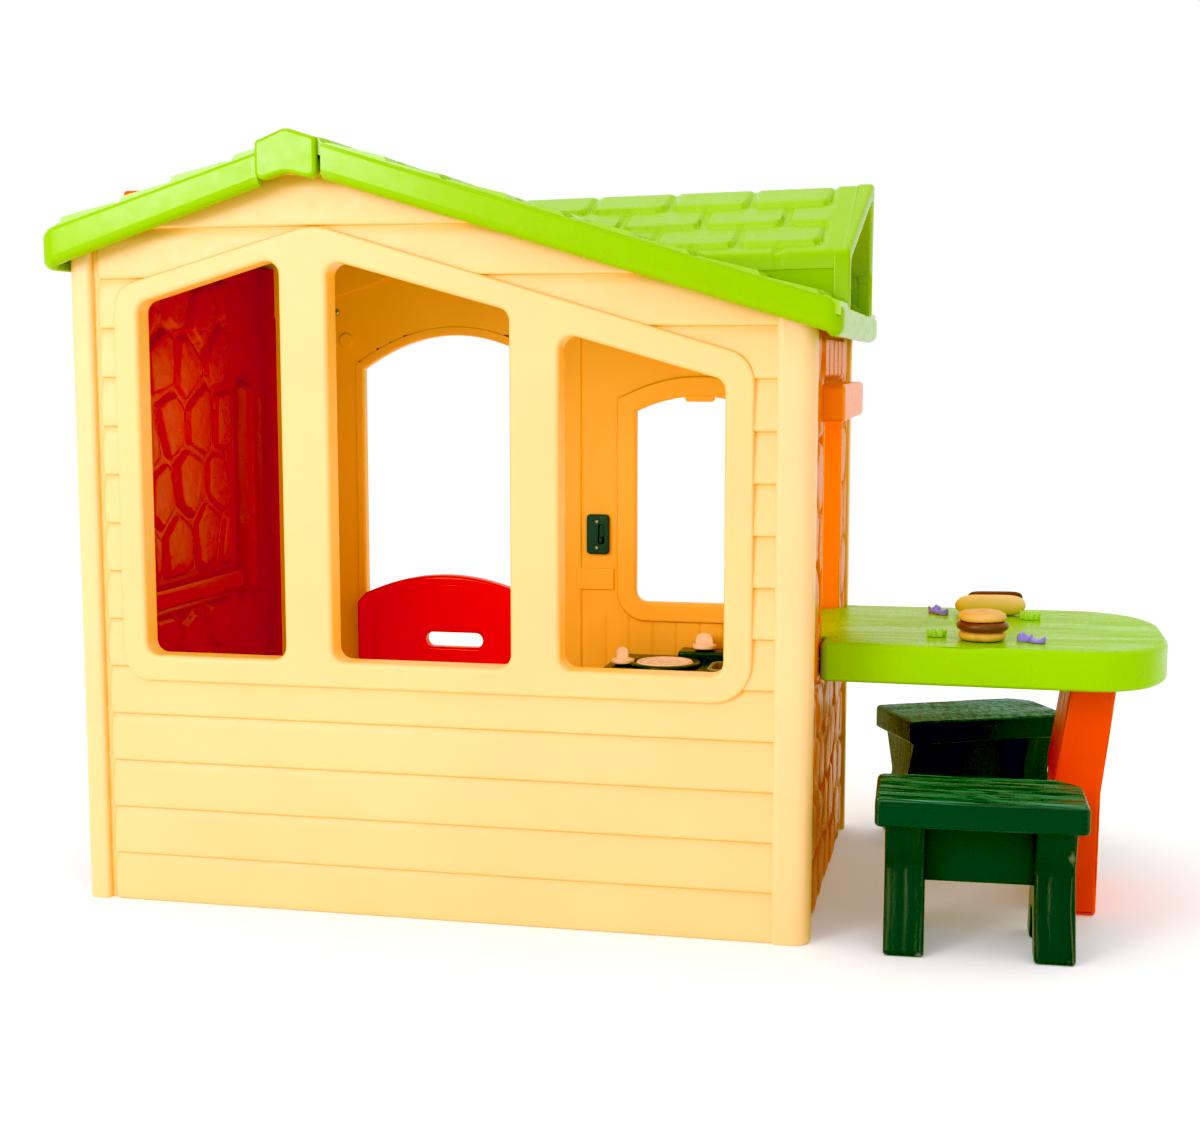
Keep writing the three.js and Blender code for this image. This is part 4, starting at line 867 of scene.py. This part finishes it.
def make_ridge_cap():
    middle = (CAP_LEFT + CAP_RIGHT) / 2
    crown, side = 1.207, 1.191
    front, back = -OVERHANG - 0.005, DEPTH + OVERHANG + 0.005
    top = rounded([
        [CAP_LEFT, side - 0.030, 0], [middle, crown - 0.030, 0], [CAP_RIGHT, side - 0.030, 0],
        [CAP_RIGHT, side + 0.001, 0.008], [middle, crown + 0.0005, 0.025], [CAP_LEFT, side - 0.003, 0.008],
    ])
    plate("ridge_cap", "XZ", top, front + 0.004, back - 0.004, LIME, edge=0.006, steps=6)
    cheek = rounded([
        [CAP_LEFT, side - 0.063, 0.012], [middle, crown - 0.065, 0.030], [CAP_RIGHT, side - 0.061, 0.012],
        [CAP_RIGHT, side + 0.001, 0.008], [middle, crown + 0.0005, 0.025], [CAP_LEFT, side - 0.003, 0.008],
    ])
    reach = FASCIA_THICK - OVERHANG
    plate("ridge_cheek_front", "XZ", cheek, front, reach, LIME, edge=0.006, steps=6)
    plate("ridge_cheek_back", "XZ", cheek, DEPTH - reach, back, LIME, edge=0.006, steps=6)


def dormer_ridge(x):
    """Height of the cross gable's ridge, which climbs a little towards its mouth."""
    return 1.1305 + 0.0130 * (x - DORMER_START) / (EAVE_RIGHT - DORMER_START)


def make_dormer():
    """Cross gable over the serving window: shingled slopes on upright side walls, open at its mouth."""
    end = EAVE_RIGHT - 0.010
    xs = lines(DORMER_START, end, 0.0042)
    shares = np.linspace(0, 1, 72)
    x, share = np.meshgrid(xs, shares, indexing="ij")
    reach = np.clip((dormer_ridge(x) - roof_top(x) + 0.004) / DORMER_SLOPE, 0.004, DORMER_HALF)
    away = share * reach
    steep = math.hypot(1, DORMER_SLOPE)
    courses = [-0.02, 0.088, 0.172, 0.256, 0.34]
    border = smooth(end - 0.036, end - 0.030, x)
    shingles = shingle_height(away * steep, x - 0.775, courses, 0.130, 0.0085, 0.010)
    height = shingles * (1 - border) + 0.0050 * border * (away * steep > 0.004)
    height = height - 0.004 * np.exp(-(away / 0.008) ** 2) - quarter(reach - away, 0.009)
    for name, side in (("near", -1), ("far", 1)):
        top = dormer_ridge(x) - DORMER_SLOPE * away
        upper = map_plane("XY", x, MID_Y + side * away, top + height)
        lower = map_plane("XY", x, MID_Y + side * away, top - DORMER_THICK)
        keep = np.ones((len(xs) - 1, len(shares) - 1), bool)
        grid_solid(f"dormer_slope_{name}", upper, lower, keep, LIME)
        foot = float(dormer_ridge(end)) - DORMER_SLOPE * DORMER_HALF - 0.006
        meets = RIDGE_X + (RIDGE_Z - foot) / SLOPE
        low = float(roof_top(end)) - 0.012
        wall = np.array([[meets - 0.02, foot], [meets, foot - 0.012], [end, low], [end, foot]])
        outer, inner = MID_Y + side * (DORMER_HALF - 0.0015), MID_Y + side * (DORMER_HALF - 0.018)
        plate(f"dormer_side_{name}", "XZ", wall, min(outer, inner), max(outer, inner), LIME, edge=0.001)

    near, far = MID_Y - DORMER_HALF - 0.001, MID_Y + DORMER_HALF + 0.001
    apex = float(dormer_ridge(EAVE_RIGHT)) + 0.004
    shoulder = apex - DORMER_SLOPE * DORMER_HALF
    low = float(roof_top(EAVE_RIGHT)) - 0.006
    thick = 0.020
    arch = rounded([
        [near, low, 0], [near + thick, low, 0], [near + thick, shoulder - 0.016, 0.020],
        [MID_Y, apex - 0.026, 0.030], [far - thick, shoulder - 0.016, 0.020], [far - thick, low, 0],
        [far, low, 0], [far, shoulder, 0.016], [MID_Y, apex, 0.016], [near, shoulder, 0.016],
    ])

    def lean_out(points):
        share = 1 - np.abs(points[:, 1] - MID_Y) / (DORMER_HALF + 0.001)
        points[:, 0] += 0.017 * np.clip(share, 0, 1) ** 1.3
        return points

    plate("dormer_rake", "YZ", arch, EAVE_RIGHT - 0.030, EAVE_RIGHT - 0.002, LIME, edge=0.007, steps=5,
          shift=lean_out)


def make_roof():
    def beside_chimney(x, y):
        return ~((x < 0.006) & (y > 0.296) & (y < 0.424))

    def round_dormer(x, y):
        half = (DORMER_HALF - 0.043) * (x - 0.680) / (EAVE_RIGHT - FASCIA_THICK - 0.680)
        return (x < 0.680) | (np.abs(y - MID_Y) > half)

    roof_slope("roof_slope_left", EAVE_LEFT, CAP_LEFT, "roof_left", 0.010, beside_chimney)
    roof_slope("roof_slope_right", EAVE_RIGHT, CAP_RIGHT, "roof_right", 0.0075, round_dormer)
    fascia("fascia_left", FASCIA_LEFT, CAP_LEFT + 0.003, 0.021, 0.058, 0.050)
    fascia("fascia_right", EAVE_RIGHT, CAP_RIGHT + 0.006, FASCIA_THICK, 0.048, 0.053)
    make_ridge_cap()
    make_dormer()


# ---------------------------------------------------------------- half door
def door_head(left, right, low, top, steps=22):
    """Points of the door's low arched head, from right to left."""
    middle, half = (left + right) / 2, (right - left) / 2
    return [[middle + half * t, top - (top - low) * t * t, 0] for t in np.linspace(0.95, -0.95, steps)]


def make_half_door():
    left, right, bottom, shoulder, crown = 0.234, 0.594, 0.060, 0.406, 0.460
    y0, y1 = 0.643, 0.671
    notch = 0.263
    points = [[left, bottom, 0.010], [right, bottom, 0.016], [right, shoulder, 0.014]]
    points += door_head(left + 0.008, right - 0.008, shoulder + 0.012, crown)
    points += [[left, shoulder - 0.002, 0.010]]
    for z0, z1 in reversed(DOOR_LUGS):
        high, low = z1 + 0.003, z0 - 0.003
        points += [[left, high, 0], [notch, high, 0], [notch, low, 0], [left, low, 0]]
    outline = rounded(points, 5)
    slot = rectangle(0.371, 0.484, 0.322, 0.350, 0.0138, 8)
    door = plate("half_door_shell", "XZ", outline, y0, y1, DOOR_RED, holes=[slot], edge=0.006,
                 hole_edge=0.006, body="half_door")
    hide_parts("half_door")
    inner = [[0.270, bottom + 0.028, 0.012], [right - 0.024, bottom + 0.028, 0.012],
             [right - 0.024, shoulder - 0.016, 0.012]]
    inner += door_head(0.276, right - 0.030, shoulder - 0.008, crown - 0.017)
    inner += [[0.270, shoulder - 0.020, 0.008]]
    rim = rectangle(0.361, 0.494, 0.312, 0.360, 0.0235, 8)
    plate("half_door_panel", "XZ", rounded(inner, 5), y0 - 0.0018, y1 + 0.0018, DOOR_RED, holes=[rim],
          edge=0.0018, hole_edge=0.0018, steps=3, body="half_door")


# ---------------------------------------------------------------- play kitchen
def make_kitchen():
    left, right, front, back = 0.744, 1.122, 0.486, 0.673
    outline = rounded([[left, front, 0.026], [right, front, 0.010], [right, back, 0], [left, back, 0]])
    basin = rectangle(*BASIN, 0.018)
    top = plate("kitchen_worktop", "XY", outline, KITCHEN_TOP - 0.034, KITCHEN_TOP, GREEN_PLAIN,
                holes=[basin], edge=0.007, hole_edge=0.003)
    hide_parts("kitchen_unit")
    body = rounded([[left + 0.008, front + 0.010, 0.022], [right - 0.002, front + 0.010, 0.008],
                    [right - 0.002, back, 0], [left + 0.008, back, 0]])
    well = rectangle(0.936, 1.100, 0.506, 0.600, 0.018)
    plate("kitchen_cabinet", "XY", body, 0.040, KITCHEN_TOP - 0.030, GREEN_PLAIN, holes=[well], edge=0.005)
    plinth = rounded([[left + 0.008, front + 0.022, 0.01], [right - 0.004, front + 0.022, 0.005],
                      [right - 0.004, back, 0], [left + 0.008, back, 0]])
    plate("kitchen_plinth", "XY", plinth, 0.001, 0.046, GREEN_PLAIN, edge=0.002)
    ledge = rounded([[0.864, 0.617, 0.010], [right, 0.617, 0.004], [right, back, 0], [0.864, back, 0]])
    plate("kitchen_ledge", "XY", ledge, KITCHEN_TOP - 0.010, LEDGE_TOP, GREEN_PLAIN, edge=0.005)
    plate("oven_door", "XZ", rectangle(0.784, 0.900, 0.070, 0.270, 0.012), front - 0.006, front + 0.016,
          GREEN_PLAIN, edge=0.004)
    plate("oven_handle", "XZ", rectangle(0.804, 0.880, 0.236, 0.250, 0.006), front - 0.019, front - 0.002,
          GREEN_PLAIN, edge=0.004)
    ring = circle(*HOB, 0.066, 64)
    plate("burner_ring", "XY", ring, KITCHEN_TOP - 0.004, KITCHEN_TOP + 0.007, GREEN_PLAIN,
          holes=[circle(*HOB, 0.0545, 64)], edge=0.004, hole_edge=0.002)
    make_sink()


def make_sink():
    """Grey bowl with a rim that laps over the worktop, and its drain."""
    gap = 0.0003
    left, right, near, far = BASIN[0] + gap, BASIN[1] - gap, BASIN[2] + gap, BASIN[3] - gap
    levels = [(0.0, 0.2485, 0.017), (0.0, 0.318, 0.017), (-0.004, 0.3195, 0.020), (-0.004, 0.3215, 0.020),
              (0.002, 0.322, 0.017), (0.0045, 0.319, 0.015), (0.006, 0.268, 0.015), (0.012, 0.2575, 0.014),
              (0.020, 0.2545, 0.012)]
    rings = []
    for inset, z, corner in levels:
        loop = rectangle(left + inset, right - inset, near + inset, far - inset, corner)
        rings.append(np.column_stack([loop, np.full(len(loop), z)]))
    bowl = loft("sink_bowl", rings, GREY, weighted=True)
    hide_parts("sink_basin")
    drain = [(0.0, 0.2542), (0.012, 0.2542), (0.012, 0.2552), (0.010, 0.2562), (0.008, 0.2550), (0.0, 0.2550)]
    lathe("sink_drain", drain, (1.018, 0.553), STEEL)


def burner_material():
    """Pale hob disc with a faint red pattern of rings and rays."""
    material = plastic("hob_white", (0.90, 0.84, 0.78), 0.42)
    tree = material.node_tree
    shader = tree.nodes["Principled BSDF"]
    before = shader.inputs["Base Color"].links[0].from_node
    place = node(tree, "ShaderNodeTexCoord")
    centre = HOUSE + np.array([*HOB, 0.0])
    move = node(tree, "ShaderNodeMapping", vector_type="POINT")
    move.inputs["Location"].default_value = tuple(-centre)
    link(tree, place, "Object", move, "Vector")
    rings = node(tree, "ShaderNodeTexWave", wave_type="RINGS", rings_direction="Z", Scale=17.0, Distortion=6.0)
    rings.inputs["Detail"].default_value = 2.0
    rings.inputs["Detail Scale"].default_value = 22.0
    link(tree, move, "Vector", rings, "Vector")
    faint = node(tree, "ShaderNodeMapRange", **{"From Min": 0.72, "From Max": 0.9, "To Max": 0.55})
    link(tree, rings, "Fac", faint, "Value")
    mix = node(tree, "ShaderNodeMix", data_type="RGBA")
    mix.inputs["B"].default_value = (0.75, 0.28, 0.22, 1)
    link(tree, before, "Result", mix, "A")
    link(tree, faint, "Result", mix, "Factor")
    link(tree, mix, "Result", shader, "Base Color")
    return material


def make_hob():
    """Pale disc with a raised rim, sunk in its ring."""
    base = KITCHEN_TOP - 0.0027
    profile = [(0.0, base), (0.052, base), (0.0522, base + 0.007), (0.050, base + 0.0098),
               (0.046, base + 0.0102), (0.0435, base + 0.0080), (0.040, base + 0.0074),
               (0.0, base + 0.0080)]
    disc = lathe("hob_disc", profile, HOB, burner_material(), 72)
    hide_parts("hob_plate")


def make_knob(name, x, y, z, radius, fin):
    """Turning knob: a dished flange with a rounded upright fin."""
    profile = [(0, z - 0.018), (0.006, z - 0.018), (0.006, z + 0.001), (radius * 0.62, z + 0.001),
               (radius * 0.97, z + 0.0045), (radius, z + 0.0075), (radius * 0.96, z + 0.0105),
               (radius * 0.80, z + 0.0112), (radius * 0.60, z + 0.0128), (0, z + 0.0138)]
    disc = lathe(f"{name}_flange", profile, (x, y), BEIGE, body=name)
    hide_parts(name)
    top = z + 0.032
    blade = rounded([[x - fin, z + 0.009, 0], [x + fin, z + 0.009, 0], [x + fin, top, fin * 0.85],
                     [x - fin, top, fin * 0.85]], 8)
    plate(f"{name}_fin", "XZ", blade, y - 0.0045, y + 0.0045, BEIGE, edge=0.003, body=name)


def make_phone_cradle():
    """Holder on the doorway wall: a plate with an upright pocket and a hook in it."""
    back = DEPTH - WALL + 0.004
    outline = rectangle(0.681, 0.724, 0.504, 0.579, 0.007)
    shell = plate("phone_cradle_plate", "XZ", outline, back - 0.0088, back - 0.0003, TEAL,
                  holes=[rectangle(0.704, 0.714, 0.524, 0.560, 0.0035)], edge=0.003, second_edge=0.001,
                  hole_edge=0.0015)
    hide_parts("phone_cradle")
    plate("phone_cradle_floor", "XZ", rectangle(0.703, 0.715, 0.523, 0.561, 0.003), back - 0.0045,
          back - 0.0005, TEAL, edge=0.0005)
    plate("phone_cradle_hook", "XZ", rectangle(0.7055, 0.7125, 0.526, 0.536, 0.003), back - 0.0158,
          back - 0.003, TEAL, edge=0.002)


# ---------------------------------------------------------------- table and stools
def make_table():
    """Table on the serving window's sill, with a tongue that reaches in through the wall."""
    wall = WIDTH - 0.002
    end = 1.693
    corner_x = end - 0.056
    half, wide = 0.219, 0.228
    outline = rounded([
        [wall, MID_Y - half, 0.014], [corner_x, MID_Y - wide, 0.115], [end, MID_Y - 0.105, 0.230],
        [end, MID_Y + 0.105, 0.230], [corner_x, MID_Y + wide, 0.115], [wall, MID_Y + half, 0.014],
    ], 12)
    near, far, notch = 0.202, 0.518, wall + 0.024
    slots = [rounded([[wall - 0.006, y0, 0], [notch, y0, 0.002], [notch, y1, 0.002], [wall - 0.006, y1, 0]])
             for y0, y1 in ((near - 0.006, near), (far, far + 0.006))]
    bottom = TABLE_TOP - TABLE_THICK
    bed = plate("table_shell", "XY", outline, bottom, TABLE_TOP, LIME_WOOD, edge=0.006,
                second_edge=0.010, steps=6)
    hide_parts("table_top")
    carve_grain(bed, (0, 0, 1), 1, 0, 0.0085, 0.0013, 51)
    tongue = plate("table_tongue", "XY", rectangle(1.112, wall + 0.012, near, far, 0.005), bottom + 0.001,
                   TABLE_TOP - 0.0006, LIME_WOOD, edge=0.003)
    carve_grain(tongue, (0, 0, 1), 1, 0, 0.0085, 0.0010, 52)
    for side, slot in zip(("near", "far"), slots):
        plate(f"table_notch_{side}", "XY", slot, TABLE_TOP - 0.004, TABLE_TOP + 0.0004, LIME, edge=0.0003)


def make_table_leg():
    top = TABLE_TOP - TABLE_THICK - 0.0003
    side = rounded([[1.525, 0.0, 0.006], [1.594, 0.0, 0.006], [1.596, 0.196, 0.05], [1.617, top, 0],
                    [1.548, top, 0], [1.524, 0.205, 0.05]], 6)
    leg = plate("table_leg_shell", "XZ", side, MID_Y - 0.120, MID_Y + 0.120, ORANGE, edge=0.007)
    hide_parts("table_leg")
    carve_grain(leg, (-1, 0, 0), 1, 2, 0.012, 0.0034, 61, 0.75)
    carve_grain(leg, (1, 0, 0), 1, 2, 0.013, 0.0020, 62, 0.75)


def stool_seat(name, x, y, under):
    """Plank seat with one cut corner and grain in its top and long sides."""
    half, deep = 0.152, 0.087
    outline = rounded([
        [x - half, y - deep, 0.012], [x + half, y - deep, 0.012], [x + half, y + 0.052, 0.030],
        [x + 0.120, y + deep, 0.020], [x - half, y + deep, 0.012],
    ], 6)
    seat = plate(f"{name}_seat", "XY", outline, under, SEAT_TOP, GREEN, edge=0.006,
                 second_edge=0.009, steps=5, body=name)
    carve_grain(seat, (0, 0, 1), 1, 0, 0.0100, 0.0042, 71)
    carve_grain(seat, (0, -1, 0), 2, 0, 0.0085, 0.0024, 72)
    carve_grain(seat, (0, 1, 0), 2, 0, 0.0085, 0.0024, 73)
    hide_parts(name)
    return seat


def stool_leg_outline(y, top):
    """Waisted plank leg, seen from the side, with a notch between its two feet."""
    foot, inner, notch, waist, neck = 0.086, 0.036, 0.020, 0.040, 0.070
    notch_top, waist_z = 0.058, 0.124
    right = [
        [y + notch, notch_top, 0.012], [y + inner, 0, 0.007], [y + foot, 0, 0.007],
        [y + waist, waist_z, 0.010], [y + neck, top, 0],
    ]
    left = [[2 * y - v, z, radius] for v, z, radius in right[::-1]]
    return rounded(left[-3:] + right + left[:2], 5)


def turn_about(parts, x, y, degrees):
    """Turn finished pieces about an upright axis through x, y of the house frame."""
    c, s = math.cos(math.radians(degrees)), math.sin(math.radians(degrees))
    for part in parts:
        for vertex in part.data.vertices:
            dx, dy = vertex.co.x - HOUSE[0] - x, vertex.co.y - HOUSE[1] - y
            vertex.co.x = HOUSE[0] + x + c * dx - s * dy
            vertex.co.y = HOUSE[1] + y + s * dx + c * dy


def make_stools():
    """Stools: a plank seat on two waisted plank legs, joined by an upright stretcher."""
    under = SEAT_TOP - 0.042
    top = under + 0.004
    for name, x, y, turn in (("stool_front", 1.413, 0.072, 2), ("stool_back", 1.395, 0.690, 26)):
        parts = [stool_seat(name, x, y, under)]
        profile = stool_leg_outline(y, top)
        for side, x0, x1 in (("left", x - 0.137, x - 0.078), ("right", x + 0.078, x + 0.137)):
            leg = plate(f"{name}_leg_{side}", "YZ", profile, x0, x1, GREEN_LEG, edge=0.006, body=name)
            carve_grain(leg, (0, -1, 0), 0, 2, 0.0085, 0.0042, 74, 0.75)
            carve_grain(leg, (0, 1, 0), 0, 2, 0.0085, 0.0042, 75, 0.75)
            parts.append(leg)
        board = rectangle(x - 0.084, x + 0.084, 0.096, top, 0.006)
        parts.append(plate(f"{name}_stretcher", "XZ", board, y - 0.012, y + 0.012, GREEN, edge=0.004,
                           body=name))
        turn_about(parts, x, y, turn)


# ---------------------------------------------------------------- play food
def make_burger():
    """Two buns and a patty, one on the other. Their profiles give radii as shares of one radius."""
    x, y, radius = 1.410, 0.217, 0.0360
    phases = np.random.default_rng(5).uniform(0, 2 * math.pi, 12)

    def crumbly(amount, lobes):
        def push(angle, r, z):
            wave = sum(np.sin(k * angle + phases[k]) / k for k in range(2, lobes))
            return r * (1 + amount * wave), z + 0.0004 * np.sin(3 * angle + phases[1])
        return push

    def creased(angle, r, z):
        fold = np.exp(-((np.mod(angle + 1.75 + math.pi, 2 * math.pi) - math.pi) / 0.16) ** 2)
        return r * (1 - 0.09 * fold), z

    def layer(name, profile, material, segments, ripple):
        sized = [(share * radius, z) for share, z in profile]
        return lathe(name, sized, (x, y), material, segments, ripple, body="burger")

    b0, b1 = ON_TABLE, ON_TABLE + 0.0150
    bottom = [(0, b0), (0.75, b0), (0.93, b0 + 0.002), (1.0, b0 + 0.006), (1.0, b0 + 0.010),
              (0.95, b1 - 0.003), (0.85, b1), (0, b1)]
    layer("burger_bun_bottom", bottom, BUN, 48, creased)
    m0, m1 = b1 + 0.0003, b1 + 0.0150
    patty = [(0, m0), (0.95, m0), (1.07, m0 + 0.003), (1.11, m0 + 0.007), (1.08, m1 - 0.003),
             (0.98, m1), (0, m1)]
    layer("burger_meat", patty, MEAT, 72, crumbly(0.035, 11))
    t0, t1 = m1 + 0.0003, m1 + 0.0165
    dome = [(0, t0), (0.90, t0), (0.99, t0 + 0.002), (1.02, t0 + 0.006), (0.97, t0 + 0.011),
            (0.84, t1 - 0.0025), (0.6, t1 - 0.0006), (0.3, t1), (0, t1)]
    top = layer("burger_bun_top", dome, BUN, 48, crumbly(0.008, 5))
    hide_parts("burger_bottom_bun", "burger_patty", "burger_top_bun")


def capsule_rings(half, radius_at, x, y, z, tilt, squash=1.0, around=36, steps=40):
    """Rings of a rounded bar that lies flat, turned by tilt. radius_at(share) is its radius."""
    c, s = math.cos(tilt), math.sin(tilt)
    rings = []
    for t in np.cos(np.linspace(math.pi, 0, steps)) * 0.9995:
        radius = radius_at(t)
        angles = np.linspace(0, 2 * math.pi, around, endpoint=False)
        across = radius * np.cos(angles)
        height = z + radius * squash * np.sin(angles)
        along = half * t
        rings.append(np.stack([x + c * along - s * across, y + s * along + c * across, height], 1))
    return rings


def make_hot_dog():
    """Roll of two halves round a middle, with the sausage lying on it."""
    x, y, tilt = 1.423, 0.495, math.radians(8)
    end = lambda t, power: max(1 - abs(t) ** power, 0.0004) ** 0.5
    for side, away, wide, high in (("near", -0.0080, 0.0140, 0.0178), ("far", 0.0095, 0.0125, 0.0150)):
        cx, cy = x - math.sin(tilt) * away, y + math.cos(tilt) * away
        squash = high / wide
        rings = capsule_rings(0.0580, lambda t: wide * end(t, 5), cx, cy, ON_TABLE + high, tilt, squash)
        loft(f"hot_dog_roll_{side}", rings, BUN_PALE, body="hot_dog")
    rings = capsule_rings(0.0555, lambda t: 0.0135 * end(t, 5), x, y, ON_TABLE + 0.0112, tilt, 0.82)
    heart = loft("hot_dog_roll_middle", rings, BUN_PALE, body="hot_dog")
    rings = capsule_rings(0.0460, lambda t: 0.0102 * end(t, 7), x + 0.008, y + 0.004, ON_TABLE + 0.0300,
                          tilt)
    sausage = loft("hot_dog_wurst", rings, SAUSAGE, body="hot_dog")
    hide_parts("hot_dog_bun")
    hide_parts("hot_dog_sausage")


def leaf(name, replaced, x, y, radius, lobes, depth, curl, material, stretch=1.25, turn=0.0):
    """Small flat garnish with a frilled edge."""
    angles = np.linspace(0, 2 * math.pi, 96, endpoint=False)
    frill = depth * np.cos(lobes * angles)
    c, s = math.cos(turn), math.sin(turn)
    under, rim, over = (0.0, 0.0), (0.0020, 0.5), (0.0042, 1.0)         # height, and share of the curl
    rings = []
    for share, (height, lifted) in ((0.02, under), (0.6, under), (0.94, under), (1.0, rim),
                                    (0.94, over), (0.6, over), (0.02, over)):
        r = radius * share * (1 + frill * share)
        lift = curl * share ** 2 * (0.5 + 0.5 * np.sin(lobes * angles + 1.0))
        u, v = stretch * r * np.cos(angles), r * np.sin(angles)
        rings.append(np.stack([x + c * u - s * v, y + s * u + c * v, ON_TABLE + height + lifted * lift], 1))
    made = loft(name, rings, material, body=replaced)
    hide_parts(replaced)


def make_garnish():
    leaf("lettuce_leaf_front", "lettuce_front", 1.340, 0.238, 0.0112, 7, 0.16, 0.0095, LETTUCE)
    leaf("lettuce_leaf_back", "lettuce_back", 1.488, 0.458, 0.0120, 9, 0.18, 0.0120, LETTUCE)
    for name, x, y, turn in (("onion_front", 1.484, 0.212, -0.5), ("onion_back", 1.337, 0.496, -1.0)):
        c, s = math.cos(turn), math.sin(turn)
        leaf(f"{name}_ring", name, x + 0.010 * c, y + 0.010 * s, 0.0120, 2, 0.06, 0.0070, ONION, 1.1, turn)
        leaf(f"{name}_slice", name, x - 0.011 * c, y - 0.011 * s, 0.0105, 3, 0.08, 0.0090, ONION, 1.15, turn)


# ---------------------------------------------------------------- carried-over CAD nodes
def finish_cad_nodes():
    """Steel for the CAD screws and pins that stay as they are."""
    for name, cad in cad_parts.items():
        if cad.hide_render:
            continue
        cad.data.materials.clear()
        cad.data.materials.append(STEEL)
        cad.data.polygons.foreach_set("use_smooth", [True] * len(cad.data.polygons))
        cad.data.set_sharp_from_angle(angle=math.radians(40))


# ---------------------------------------------------------------- studio
def make_studio():
    scene = bpy.context.scene
    view = scene.view_settings
    view.view_transform = "Standard"
    view.use_curve_mapping = True
    view.curve_mapping.black_level = (0.03, 0.03, 0.03)      # a contrasty, warm print
    for shade, level in ((0.03, 0.0), (0.12, 0.04), (0.22, 0.165), (0.30, 0.270)):
        view.curve_mapping.curves[2].points.new(shade, level)
    view.curve_mapping.update()
    camera_data = bpy.data.cameras.new("camera")
    camera_data.lens = 52.567
    camera_data.sensor_width = 36
    camera_data.sensor_fit = "HORIZONTAL"
    camera = bpy.data.objects.new("camera", camera_data)
    camera.location = Vector(HOUSE) + Vector((1.4041, -2.5245, 0.8607))
    camera.rotation_euler = (math.radians(90 - 6.471), 0, math.radians(12.306))
    scene.collection.objects.link(camera)
    scene.camera = camera

    world = bpy.data.worlds.new("studio")
    world.use_nodes = True
    world.node_tree.nodes["Background"].inputs["Color"].default_value = (1, 1, 1, 1)
    world.node_tree.nodes["Background"].inputs["Strength"].default_value = 1.0
    scene.world = world

    mesh = bpy.data.meshes.new("floor")
    size = 40
    mesh.from_pydata([(-size, -size, 0), (size, -size, 0), (size, size, 0), (-size, size, 0)], [], [(0, 1, 2, 3)])
    floor = bpy.data.objects.new("floor", mesh)
    scene.collection.objects.link(floor)
    material = bpy.data.materials.new("floor_paper")
    material.use_nodes = True
    shader = material.node_tree.nodes["Principled BSDF"]
    shader.inputs["Base Color"].default_value = (0.92, 0.91, 0.90, 1)
    shader.inputs["Roughness"].default_value = 0.9
    shader.inputs["Emission Color"].default_value = (1, 1, 1, 1)
    shader.inputs["Emission Strength"].default_value = 0.13      # keeps the paper white far from the lamps
    mesh.materials.append(material)

    add_lamp("key", (-1.0, -2.9, 1.8), 1.3, 48)
    add_lamp("top", (0.2, 0.4, 4.0), 3.0, 30)
    add_lamp("inner", (0.85, 0.22, 0.62), 0.3, 4.5, (1.0, 0.42, 0.07), "POINT")
    add_lamp("hearth", (0.24, 0.28, 0.80), 0.08, 0.6, (1.0, 0.55, 0.30), "POINT")


def add_lamp(name, place, size, power, color=(1, 1, 1), kind="AREA"):
    light = bpy.data.lights.new(name, kind)
    if kind == "AREA":
        light.size = size
    else:
        light.shadow_soft_size = size
    light.energy = power
    light.color = color
    lamp = bpy.data.objects.new(name, light)
    lamp.location = Vector(HOUSE) + Vector(place)
    lamp.rotation_euler = (Vector((0.6, 0.3, 0.5)) - Vector(place)).to_track_quat("-Z", "Y").to_euler()
    lamp.visible_camera = False
    lamp.visible_glossy = kind == "AREA"
    bpy.context.scene.collection.objects.link(lamp)


make_studio()
make_front_wall()
make_posts()
make_back_wall()
make_left_wall()
make_chimney()
make_right_wall()
make_roof()
make_half_door()
make_kitchen()
make_hob()
make_knob("knob_left", 0.776, 0.548, KITCHEN_TOP, 0.021, 0.011)
make_knob("knob_right", 0.911, 0.643, LEDGE_TOP, 0.023, 0.017)
make_phone_cradle()
make_table()
make_table_leg()
make_stools()
make_burger()
make_hot_dog()
make_garnish()
finish_cad_nodes()
